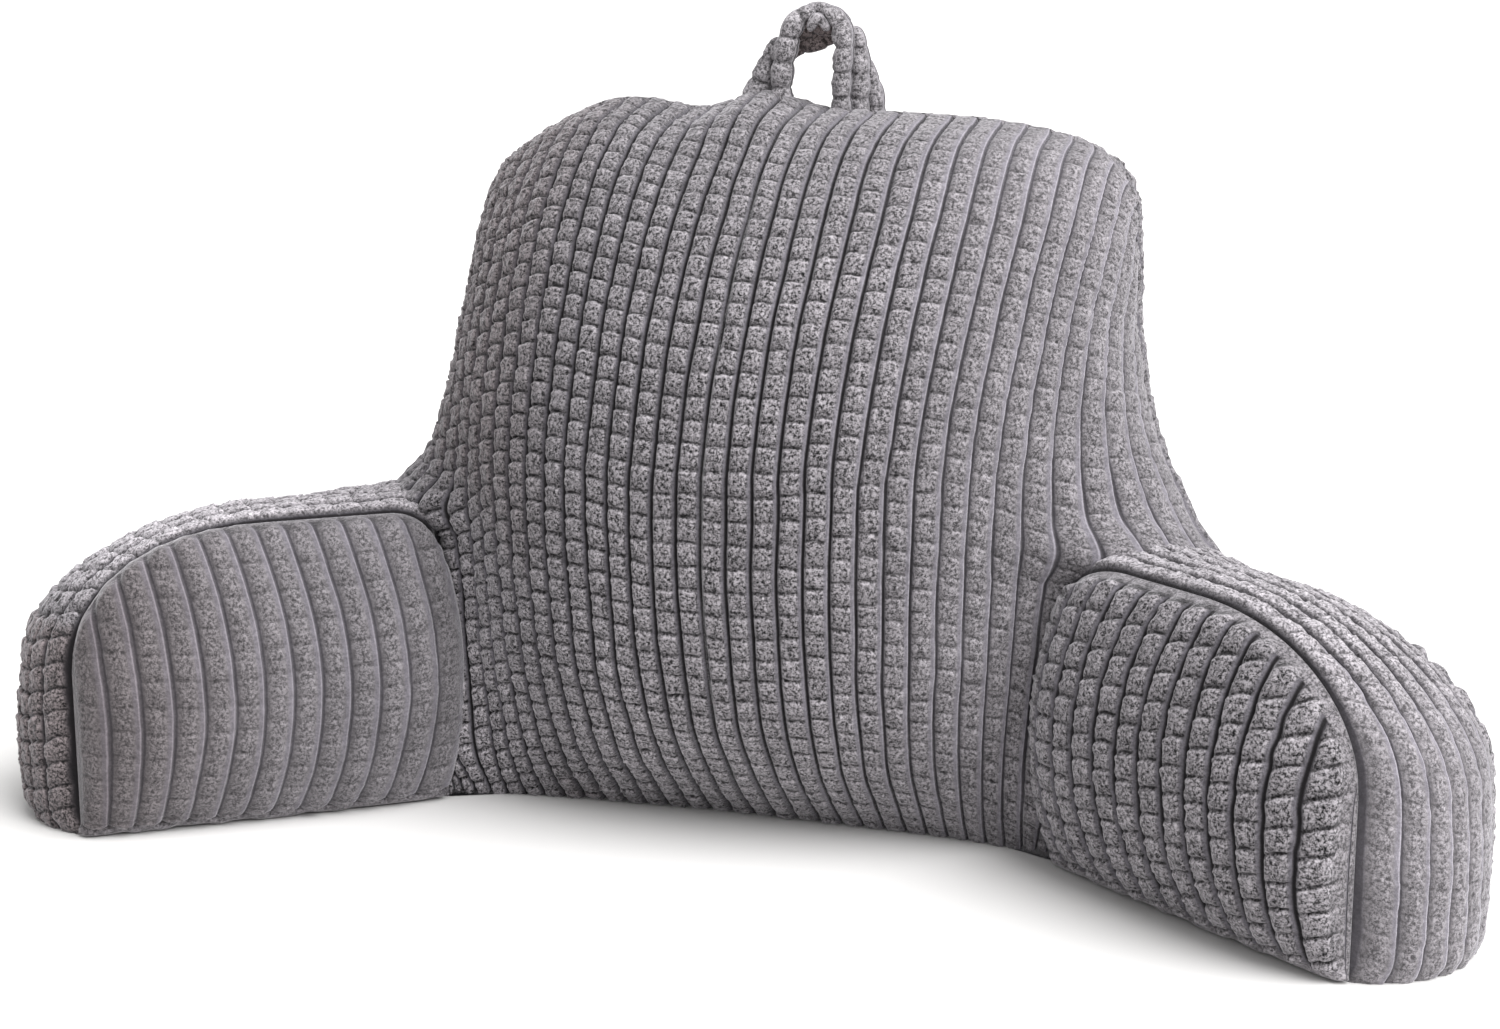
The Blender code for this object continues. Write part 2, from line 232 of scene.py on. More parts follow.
@dataclass
class Cloth:
    """Points and faces of one piece of ribbed plush, with the marks that its finish reads."""

    points: np.ndarray
    faces: list[np.ndarray]
    marks: dict[str, np.ndarray]

    @classmethod
    def shaped(
        cls, points: np.ndarray, relief: dict[str, Any], extra: np.ndarray, faces: list[np.ndarray]
    ) -> "Cloth":
        """A piece from a grid of points with its relief, and points with none after it.

        Args:
            points: The grid's points.
            relief: What Relief.raised returned for them.
            extra: More points, as on walls and caps.
            faces: All the faces.

        Returns:
            The piece.
        """
        flat = np.zeros_like(relief["ribs"])
        marks = {
            word: np.append((relief[word] + flat).ravel(), np.full(len(extra), value))
            for word, value in HIDDEN.items()
        }
        return cls(np.concatenate([points.reshape(-1, 3), extra]), faces, marks)

    def is_inside_out(self) -> bool:
        """Tells which way the faces point, by the sign of the volume that they close in.

        Returns:
            True where they point inwards.
        """
        quads = [f[:, [0, 2, 3]] for f in self.faces if f.shape[1] == 4]
        triangles = np.concatenate([f[:, :3] for f in self.faces] + quads)
        a, b, c = (self.points[triangles[:, k]] for k in range(3))
        return bool(np.einsum("ij,ij->i", a, np.cross(b, c)).sum() < 0)

    def mesh(self, name: str) -> bpy.types.Mesh:
        """Makes the mesh with its UV map and point attributes.

        Args:
            name: The mesh's name.

        Returns:
            The closed mesh, its faces outwards and smooth.
        """
        made = bpy.data.meshes.new(name)
        made.vertices.add(len(self.points))
        made.vertices.foreach_set("co", (self.points + STAND).astype(np.float32).ravel())
        turned = self.is_inside_out()
        corners = np.concatenate([(f[:, ::-1] if turned else f).ravel() for f in self.faces])
        sizes = np.concatenate([np.full(len(f), f.shape[1]) for f in self.faces])
        made.loops.add(len(corners))
        made.loops.foreach_set("vertex_index", corners.astype(np.int32))
        made.polygons.add(len(sizes))
        starts = np.concatenate([[0], np.cumsum(sizes)[:-1]])
        made.polygons.foreach_set("loop_start", starts.astype(np.int32))
        made.polygons.foreach_set("use_smooth", np.ones(len(sizes), bool))
        uv = np.stack([self.marks["ribs"], self.marks["tufts"]], axis=1)[corners]
        made.uv_layers.new(name=RIB_MAP).data.foreach_set("uv", uv.astype(np.float32).ravel())
        for word in PILE_WORDS:
            layer = made.attributes.new(word, "FLOAT", "POINT")
            layer.data.foreach_set("value", self.marks[word].astype(np.float32))
        made.update(calc_edges=True)
        made.validate()
        return made

    def sewn(self, name: str, finish: "PlushFinish", slot: str, node: str, fill: float) -> bpy.types.Object:
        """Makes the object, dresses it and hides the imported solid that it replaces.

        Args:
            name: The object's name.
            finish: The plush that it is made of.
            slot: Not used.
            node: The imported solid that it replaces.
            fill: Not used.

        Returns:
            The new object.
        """
        mesh = self.mesh(name)
        mesh.materials.append(finish.material())
        piece = bpy.data.objects.new(name, mesh)
        bpy.context.scene.collection.objects.link(piece)
        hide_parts(node)
        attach(piece, "root")
        LOG.info("%s: %d faces", name, len(mesh.polygons))
        return piece


@dataclass
class Brushed:
    """How the pile of a cloth is cut and brushed, each as one number or one for every point.

    cut is how deep the tufts are parted, from 0 to 1. lit is 1 where the far flank of a rib stands up
    to an edge with a painted highlight, and 0 where it lies low under painted shade. nap is how pale
    the pile looks, 1 on average, from its nap and from painted light and shade. sharp is how clearly
    fibres and partings show, from 0 where the pile is brushed flat to 1. tilt is how far a parting
    climbs over a rib, in tufts.
    """

    cut: Any
    lit: Any
    nap: Any = 1.0
    sharp: Any = 1.0
    tilt: Any = 0.0


@dataclass(frozen=True)
class Relief:
    """Wide ribs of plush, each cut across into tufts: how high the pile stands at a place.

    Heights and lengths along a rib are in metres. Places across a rib are shares of its width, and a
    span says where something starts and ends.
    """

    rib_high: float = 0.0047
    pile_most: float = 1.15
    # Waver of the rib edges: long and soft, and short and fine
    waver: float = 0.05
    waver_long: float = 0.042
    scallop: float = 0.065
    scallop_long: float = 0.009
    # A rib from its end, where it lies low
    round_low: float = 0.80
    round_more: float = 0.20
    low_rise: Span = (0.0, 0.18)
    low_rise_power: float = 0.8
    low_shoulder: Span = (0.76, 0.90)
    low_shoulder_drop: float = 0.38
    low_fall: Span = (0.90, 1.0)
    # and where its far flank stands up to an edge
    high_rise: Span = (0.0, 0.16)
    high_rise_power: float = 0.6
    high_shoulder: Span = (0.66, 0.78)
    high_shoulder_drop: float = 0.10
    high_fall: Span = (0.93, 1.0)
    edge_high: float = 0.14
    edge_at: float = 0.915
    edge_wide: float = 0.045
    # and where it is brushed flat, like a shingle over the next rib
    shingle_low: float = 0.52
    shingle_more: float = 0.48
    shingle_rise: Span = (-0.2, 0.9)
    shingle_fall: Span = (0.94, 1.0)
    # Tufts: how far each rib's are shifted, and how their partings waver and arch
    tuft_shift: float = 0.14
    tuft_waver: float = 0.07
    tuft_waver_long: float = 0.02
    tuft_arch: float = 0.10
    arch_at: float = 0.38
    arch_wide: float = 0.36
    tilt_at: float = 0.4
    # The crown of a rib, where partings and fibres show
    crown_rise: Span = (0.02, 0.11)
    crown_fall: Span = (0.72, 0.85)
    crown_shift: float = 0.07
    # A parting, the lip of pile before it, and a tuft's own height
    dash_wide: float = 0.0011
    dash_deep: float = 0.0009
    dash_uncut: float = 0.6
    dash_cut: float = 1.5
    dash_flat: float = 0.35
    dash_sharp: float = 0.65
    lip_at: float = 0.0025
    lip_wide: float = 0.0015
    lip_high: float = 0.0005
    lip_cut: float = 0.0004
    block_power: int = 3
    tuft_varies: float = 0.20
    parted: float = 0.34
    # Clumps of fibre, and lumps of filling under the cloth
    clump_high: float = 0.00078
    clump_fine: float = 0.0026
    clump_wide: float = 0.0052
    clump_wide_share: float = 0.8
    clump_low: float = 0.3
    clump_crown: float = 0.7
    lump_high: float = 0.0008
    lump_wide: float = 0.031

    def dome(self, f: np.ndarray, lit: Any, sharp: Any) -> np.ndarray:
        """A rib's section.

        Args:
            f: Places across the rib, from 0 to 1.
            lit: How far its far flank stands up.
            sharp: How little it is brushed flat.

        Returns:
            Its height as a share of the full height.
        """
        round_over = self.round_low + self.round_more * (1 - (2 * f - 1) ** 2)
        low = step_up(f, *self.low_rise) ** self.low_rise_power
        low = low * (1 - self.low_shoulder_drop * step_up(f, *self.low_shoulder))
        low = low * (1 - step_up(f, *self.low_fall))
        edge = self.edge_high * hill(f, self.edge_at, self.edge_wide)
        high = step_up(f, *self.high_rise) ** self.high_rise_power
        high = high * (1 + edge - self.high_shoulder_drop * step_up(f, *self.high_shoulder))
        high = high * (1 - step_up(f, *self.high_fall))
        shingle = self.shingle_more * step_up(f, *self.shingle_rise) * (1 - step_up(f, *self.shingle_fall))
        flat = lit * (1 - sharp)
        return round_over * (low * (1 - lit) + high * lit) * (1 - flat) + (self.shingle_low + shingle) * flat

    def raised(
        self, ribs: np.ndarray, along: np.ndarray, brushed: Brushed, calm: np.ndarray, seed: int
    ) -> dict[str, Any]:
        """The height of the pile over the cloth.

        Args:
            ribs: Places across, in ribs, whole at each valley.
            along: Places along the rib, upwards, in metres.
            brushed: How the pile is cut and brushed.
            calm: 1 where the pile is free, falling to 0 at a seam.
            seed: Which of many patterns.

        Returns:
            Heights in metres, and ribs, tufts, pile, lit, nap and sharp as the finish reads them. The finish
            paints shade where pile is low, and nap carries painted light and shade.
        """
        cut, lit, sharp = brushed.cut, brushed.lit, brushed.sharp
        across = ribs * RIB_PITCH
        ribs = ribs + calm * self.waver * clumps(across, along, self.waver_long, seed)
        ribs = ribs + calm * self.scallop * cut * clumps(across, along, self.scallop_long, seed + 8)
        rib = np.floor(ribs)
        f = ribs - rib
        dome = self.dome(f, lit, sharp)
        tufts = along / TUFT_LONG + self.tuft_shift * lattice(rib, rib * 0, seed + 1)
        tufts = tufts + self.tuft_waver * clumps(across, along, self.tuft_waver_long, seed + 2)
        arch = np.minimum(1, ((f - self.arch_at) / self.arch_wide) ** 2)
        tufts = tufts + cut * self.tuft_arch * arch - brushed.tilt * (f - self.tilt_at)
        tuft = np.floor(tufts)
        w = tufts - tuft
        crown_end = 1 - step_up(f - self.crown_shift * (1 - lit), *self.crown_fall)
        crown = step_up(f, *self.crown_rise) * crown_end
        dash = hill(np.minimum(w, 1 - w) * TUFT_LONG, 0.0, self.dash_wide)
        lip = hill((1 - w) * TUFT_LONG, self.lip_at, self.lip_wide)
        block = np.clip(1 - np.abs(2 * w - 1) ** self.block_power, 0, 1) ** 0.5
        own = 1 + self.tuft_varies * (lattice(rib, tuft, seed + 3) - 0.5) * block
        parted = 1 - cut * self.parted * (1 - block)
        depth = self.dash_deep * (self.dash_uncut + self.dash_cut * cut)
        depth = depth * (0.5 + lattice(rib, tuft, seed + 4)) * (self.dash_flat + self.dash_sharp * sharp)
        fuzz = self.clump_high * clumps(across, along, self.clump_fine, seed + 5)
        wide_high = self.clump_high * self.clump_wide_share
        fuzz = fuzz + wide_high * clumps(across, along, self.clump_wide, seed + 6)
        fuzz = fuzz * (self.clump_low + self.clump_crown * crown)
        lumps = self.lump_high * clumps(across, along, self.lump_wide, seed + 7)
        height = self.rib_high * dome * (1 + calm * (own * parted - 1))
        height = height + calm * crown * ((self.lip_high + self.lip_cut * cut) * lip - depth * dash)
        height = height + calm * dome * (fuzz + lumps)
        return {
            "height": height,
            "ribs": ribs,
            "tufts": tufts,
            "pile": np.clip(height / self.rib_high, 0, self.pile_most),
            "lit": lit,
            "nap": brushed.nap,
            "sharp": sharp,
        }


def add_node(tree: bpy.types.NodeTree, kind: str, settings: dict[str, Any], inputs: Any, out: Any = 0) -> Any:
    """Adds a node with its settings, and its inputs as values or links.

    Args:
        tree: The material's node tree.
        kind: The node's type.
        settings: Its properties.
        inputs: Values or output sockets, in the order of its inputs, or by input name or number.
        out: Name or number of the output that is wanted.

    Returns:
        The new node's output socket, or None where it has no output.
    """
    made = tree.nodes.new(kind)
    for key, value in settings.items():
        setattr(made, key, value)
    for key, value in inputs.items() if isinstance(inputs, dict) else enumerate(inputs):
        if isinstance(value, bpy.types.NodeSocket):
            tree.links.new(value, made.inputs[key])
        else:
            made.inputs[key].default_value = value
    return made.outputs[out] if len(made.outputs) else None


@dataclass(frozen=True)
class PlushFinish:
    """Polyester plush, knitted with a cut pile and embossed in ribs.

    Places across a rib and along a tuft are shares of their width and length. A span says where
    something starts and ends, or its lowest and highest brightness.
    """

    name: str
    crown: str = "#676467"
    flank: str = "#67646A"
    # Near-black painted shade, mixed in at the valleys and where the pile is low
    painted_valley_shade: str = "#1A181A"
    # Warm tint of painted shade, mixed in as the nap mark falls
    brushed: str = "#FFEFE8"
    sheen: str = "#F4F2F6"
    # Real sizes in metres. A fibre is about 0.02 mm thick, far too fine to show, so the speckle of
    # its tips is drawn as coarse as 1.9 mm. Locks of clinging fibres are 4.5 mm wide, and the
    # patches that a hand leaves 45 mm.
    fibre_tips: float = 0.0019
    locks: float = 0.0045
    hand_marks: float = 0.045
    # Where the crown of a rib, its core and the painted highlight on its far edge lie
    crown_rise: Span = (0.04, 0.12)
    crown_fall: Span = (0.72, 0.82)
    crown_shift: float = 0.08
    core_rise: Span = (0.1, 0.3)
    core_fall: Span = (0.6, 0.76)
    edge_at: float = 0.925
    edge_wide: Span = (0.01, 0.05)
    edge: float = 0.6
    # Painted shade in the partings between tufts, broken by locks, and a painted highlight on the lip before
    # each
    dash: float = 0.8
    dash_wide: Span = (0.02, 0.09)
    dash_locks: Span = (0.42, 0.62)
    dash_kept: Span = (1.0, 0.4)
    dash_flat: float = 0.15
    dash_sharp: float = 0.85
    lip: float = 0.42
    lip_at: float = 0.86
    lip_wide: Span = (0.0, 0.09)
    # The speckle's tone, painted light and shade over a tuft and over a rib that is brushed flat, the tone of
    # hand marks and locks, and painted shade on a low flank
    speckle: float = 1.0
    speck_noise: Span = (0.36, 0.64)
    speck_share: Span = (0.25, 0.75)
    tuft_from: Span = (0.0, 0.6)
    tuft_light: Span = (0.77, 1.09)
    lean_from: Span = (0.05, 0.7)
    lean_light: Span = (0.74, 1.16)
    noise_middle: Span = (0.35, 0.65)
    marks_light: Span = (0.93, 1.07)
    locks_light: Span = (0.9, 1.1)
    low_flank: float = 0.76
    # Where painted shade tints the pile warm as its nap mark falls, and how dark the painted shade in the
    # valleys is
    painted_warm_shade_from: Span = (0.65, 1.0)
    valley_wide: Span = (0.024, 0.09)
    valley_pile: Span = (0.1, 0.75)
    valley_share: Span = (0.35, 1.0)
    valley_flat: float = 0.6
    # The fibres' bump, and the shader
    fibre_bump: float = 0.7
    lock_bump: float = 0.6
    bump_strength: float = 0.8
    bump_high: float = 0.0012
    roughness: float = 0.95
    specular: float = 0.15
    sheen_weight: float = 0.55
    sheen_roughness: float = 0.4

    def pattern(self, add: Any) -> dict[str, Any]:
        """Reads where a point lies on its rib and tuft, how the pile stands there, and the fibres.

        Args:
            add: Adds a node to the material.

        Returns:
            A socket for each: f and w from 0 to 1 across the rib and up the tuft, the pile's marks,
            the three noises, crown where the rib's crown is, and flat where it is brushed flat.
        """
        place = add("ShaderNodeTexCoord", {}, {}, "Object")
        uv = add("ShaderNodeUVMap", {"uv_map": RIB_MAP}, {})
        seen = {w: add("ShaderNodeAttribute", {"attribute_name": w}, {}, "Fac") for w in PILE_WORDS}
        for word, size, detail, rough in (
            ("fibres", self.fibre_tips, 3.0, 0.8),
            ("locks", self.locks, 2.0, 0.6),
            ("hand_marks", self.hand_marks, 2.0, 0.5),
        ):
            inputs = {"Vector": place, "Scale": 1 / size, "Detail": detail, "Roughness": rough}
            seen[word] = add("ShaderNodeTexNoise", {}, inputs)
        seen["f"] = add(MATH, REST, (add("ShaderNodeSeparateXYZ", {}, (uv,), "X"),))
        seen["w"] = add(MATH, REST, (add("ShaderNodeSeparateXYZ", {}, (uv,), "Y"),))
        far_shift = add(MATH, TIMES_PLUS, (seen["lit"], -self.crown_shift, self.crown_shift))
        far_side = add(MATH, LESS, (seen["f"], far_shift))
        near_crown = add(RANGE, SMOOTH, (seen["f"], *self.crown_rise, *RISING))
        far_crown = add(RANGE, SMOOTH, (far_side, *self.crown_fall, *FALLING))
        seen["crown"] = add(MATH, TIMES, (near_crown, far_crown))
        seen["flat"] = add(MATH, TIMES, (seen["lit"], add(MATH, LESS, (1.0, seen["sharp"]))))
        return seen

    def speckled(self, add: Any, seen: dict[str, Any]) -> Any:
        """How far each fibre's tip is brighter or darker: on the crown, or on the core where it is flat.

        Args:
            add: Adds a node to the material.
            seen: What pattern returned.

        Returns:
            The brightness, 1 on average.
        """
        near_core = add(RANGE, SMOOTH, (seen["f"], *self.core_rise, *RISING))
        far_core = add(RANGE, SMOOTH, (seen["f"], *self.core_fall, *FALLING))
        core = add(MATH, TIMES, (near_core, far_core))
        core = add(MIX, NUMBERS, {0: seen["flat"], 2: 1.0, 3: core})
        shown = add(MATH, TIMES, (seen["crown"], core))
        least, more = self.speck_share
        shown = add(MATH, TIMES_PLUS, (shown, more, least))
        speck = add(RANGE, SMOOTH, (seen["fibres"], *self.speck_noise, -1.0, 1.0))
        clear = add(MATH, TIMES, (self.speckle, add(MATH, TIMES_PLUS, (seen["sharp"], 0.5, 0.5))))
        return add(MATH, PLUS, (1.0, add(MATH, TIMES, (add(MATH, TIMES, (speck, shown)), clear))))

    def shaded(self, add: Any, seen: dict[str, Any], bright: Any) -> Any:
        """Paints light and shade over each tuft and over a rib that is brushed flat, and varies the tone by
        hand marks and locks.

        Args:
            add: Adds a node to the material.
            seen: What pattern returned.
            bright: The brightness so far.

        Returns:
            The new brightness.
        """
        tuft = add(RANGE, SMOOTH, (seen["w"], *self.tuft_from, *self.tuft_light))
        lean = add(RANGE, SMOOTH, (seen["f"], *self.lean_from, *self.lean_light))
        sharp_crown = add(MATH, TIMES, (seen["crown"], seen["sharp"]))
        for shade in (
            add(MIX, NUMBERS, {0: sharp_crown, 2: 1.0, 3: tuft}),
            add(MIX, NUMBERS, {0: seen["flat"], 2: 1.0, 3: lean}),
            add(RANGE, SMOOTH, (seen["hand_marks"], *self.noise_middle, *self.marks_light)),
            add(RANGE, SMOOTH, (seen["locks"], *self.noise_middle, *self.locks_light)),
        ):
            bright = add(MATH, TIMES, (bright, shade))
        return bright

    def parted(self, add: Any, seen: dict[str, Any], bright: Any) -> Any:
        """Paints shade in the partings between tufts, a highlight on the lip before each, shade on a rib's
        low flank and a highlight on its far edge.

        Args:
            add: Adds a node to the material.
            seen: What pattern returned.
            bright: The brightness so far.

        Returns:
            The new brightness.
        """
        near_dash = add(MATH, LEAST, (seen["w"], add(MATH, LESS, (1.0, seen["w"]))))
        dash = add(RANGE, SMOOTH, (near_dash, *self.dash_wide, *FALLING))
        broken = add(RANGE, SMOOTH, (seen["locks"], *self.dash_locks, *self.dash_kept))
        dash = add(MATH, TIMES, (add(MATH, TIMES, (dash, seen["crown"])), broken))
        from_lip = add(MATH, APART, (add(MATH, LESS, (seen["w"], self.lip_at)),))
        lip = add(RANGE, SMOOTH, (from_lip, *self.lip_wide, *FALLING))
        lip = add(MATH, TIMES, (lip, seen["crown"]))
        lip = add(MATH, TIMES, (lip, add(MATH, TIMES, (seen["sharp"], self.lip))))
        bright = add(MATH, PLUS, (bright, lip))
        clear = add(MATH, TIMES_PLUS, (seen["sharp"], self.dash_sharp, self.dash_flat))
        dark = add(MATH, TIMES, (dash, add(MATH, TIMES, (self.dash, clear))))
        bright = add(MATH, TIMES, (bright, add(MATH, LESS, (1.0, dark))))
        flank = add(RANGE, SMOOTH, (seen["lit"], 0.0, 1.0, self.low_flank, 1.0))
        bright = add(MATH, TIMES, (bright, add(MATH, MOST, (seen["crown"], flank))))
        from_edge = add(MATH, APART, (add(MATH, LESS, (seen["f"], self.edge_at)),))
        edge = add(RANGE, SMOOTH, (from_edge, *self.edge_wide, *FALLING))
        edge = add(MATH, TIMES, (add(MATH, TIMES, (edge, seen["lit"])), self.edge))
        return add(MATH, TIMES, (add(MATH, PLUS, (bright, edge)), seen["nap"]))

    def coloured(self, add: Any, seen: dict[str, Any], bright: Any) -> Any:
        """Gives the crowns and flanks their colours, tinted warm by painted shade where the nap mark is low,
        and paints near-black shade in the valleys.

        Args:
            add: Adds a node to the material.
            seen: What pattern returned.
            bright: The brightness of the pile.

        Returns:
            The colour.
        """
        shade = add("ShaderNodeCombineColor", {}, (bright, bright, bright))
        crown = add(MIX, COLOURS, {0: seen["crown"], 6: linear(self.flank), 7: linear(self.crown)}, 2)
        # Painted shade: a warm tint where the nap mark is low
        tint = add(RANGE, SMOOTH, (seen["nap"], *self.painted_warm_shade_from, *FALLING))
        crown = add(MIX, TINTED, {0: tint, 6: crown, 7: linear(self.brushed)}, 2)
        pale = add(MIX, TINTED, {0: 1.0, 6: crown, 7: shade}, 2)
        # Painted shade: the valley colour is mixed in near each valley and where the pile mark is low, and
        # kept out where a lit rib is brushed flat
        near_valley = add(MATH, LEAST, (seen["f"], add(MATH, LESS, (1.0, seen["f"]))))
        out_of_valley = add(RANGE, SMOOTH, (near_valley, *self.valley_wide, *RISING))
        high = add(RANGE, SMOOTH, (seen["pile"], *self.valley_pile, *self.valley_share))
        shown = add(MATH, TIMES, (out_of_valley, high))
        flat = add(MATH, TIMES_PLUS, (seen["sharp"], -self.valley_flat, self.valley_flat))
        shown = add(MATH, MOST, (shown, add(MATH, TIMES, (seen["lit"], flat))))
        return add(MIX, COLOURS, {0: shown, 6: linear(self.painted_valley_shade), 7: pale}, 2)

    def material(self) -> bpy.types.Material:
        """The finish as a material, made once.

        Returns:
            The material.
        """
        known = bpy.data.materials.get(self.name)
        if known:
            return known
        made = bpy.data.materials.new(self.name)
        made.use_nodes = True
        made.node_tree.nodes.clear()
        add = partial(add_node, made.node_tree)
        seen = self.pattern(add)
        bright = self.parted(add, seen, self.shaded(add, seen, self.speckled(add, seen)))
        fibre_rise = add(MATH, TIMES, (seen["fibres"], self.fibre_bump))
        lock_rise = add(MATH, TIMES, (seen["locks"], self.lock_bump))
        rise = add(MATH, PLUS, (fibre_rise, lock_rise))
        bump = {"Strength": self.bump_strength, "Distance": self.bump_high, "Height": rise}
        plush = {
            "Base Color": self.coloured(add, seen, bright),
            "Roughness": self.roughness,
            "Normal": add("ShaderNodeBump", {}, bump),
            "Sheen Weight": self.sheen_weight,
            "Sheen Roughness": self.sheen_roughness,
            "Sheen Tint": linear(self.sheen),
            "Specular IOR Level": self.specular,
        }
        shader = add("ShaderNodeBsdfPrincipled", {}, plush)
        add("ShaderNodeOutputMaterial", {}, (shader,))
        return made


@dataclass(frozen=True)
class PaintFinish:
    """Matt paint, rolled on a smooth floor."""

    name: str
    colour: str = "#E0DFDE"
    roughness: float = 0.9

    def material(self) -> bpy.types.Material:
        """The paint as a material.

        Returns:
            The material.
        """
        made = bpy.data.materials.new(self.name)
        made.use_nodes = True
        shader = made.node_tree.nodes["Principled BSDF"]
        shader.inputs["Base Color"].default_value = linear(self.colour)
        shader.inputs["Roughness"].default_value = self.roughness
        return made


# Polyester plush, knitted and embossed: dull grey crowns speckled by fibre tips, near-black painted
# shade in the valleys, and a soft sheen where fibres catch light at the edge of a form
BACKREST_PLUSH = PlushFinish("backrest_plush_pile")
ARM_PLUSH = PlushFinish("arm_plush_pile")
# The same plush, with its painted shade tinted less warm
PANEL_PLUSH = PlushFinish("panel_plush_pile", brushed="#FFF9F6")
# The same plush on a strap, a little paler
HANDLE_PLUSH = PlushFinish("handle_plush_pile", crown="#7A777A", flank="#7A777B", speckle=1.1)
# Matt white paint, rolled on: one even pale tone that shows soft shadows and no gloss
FLOOR_PAINT = PaintFinish("matt_white_floor")


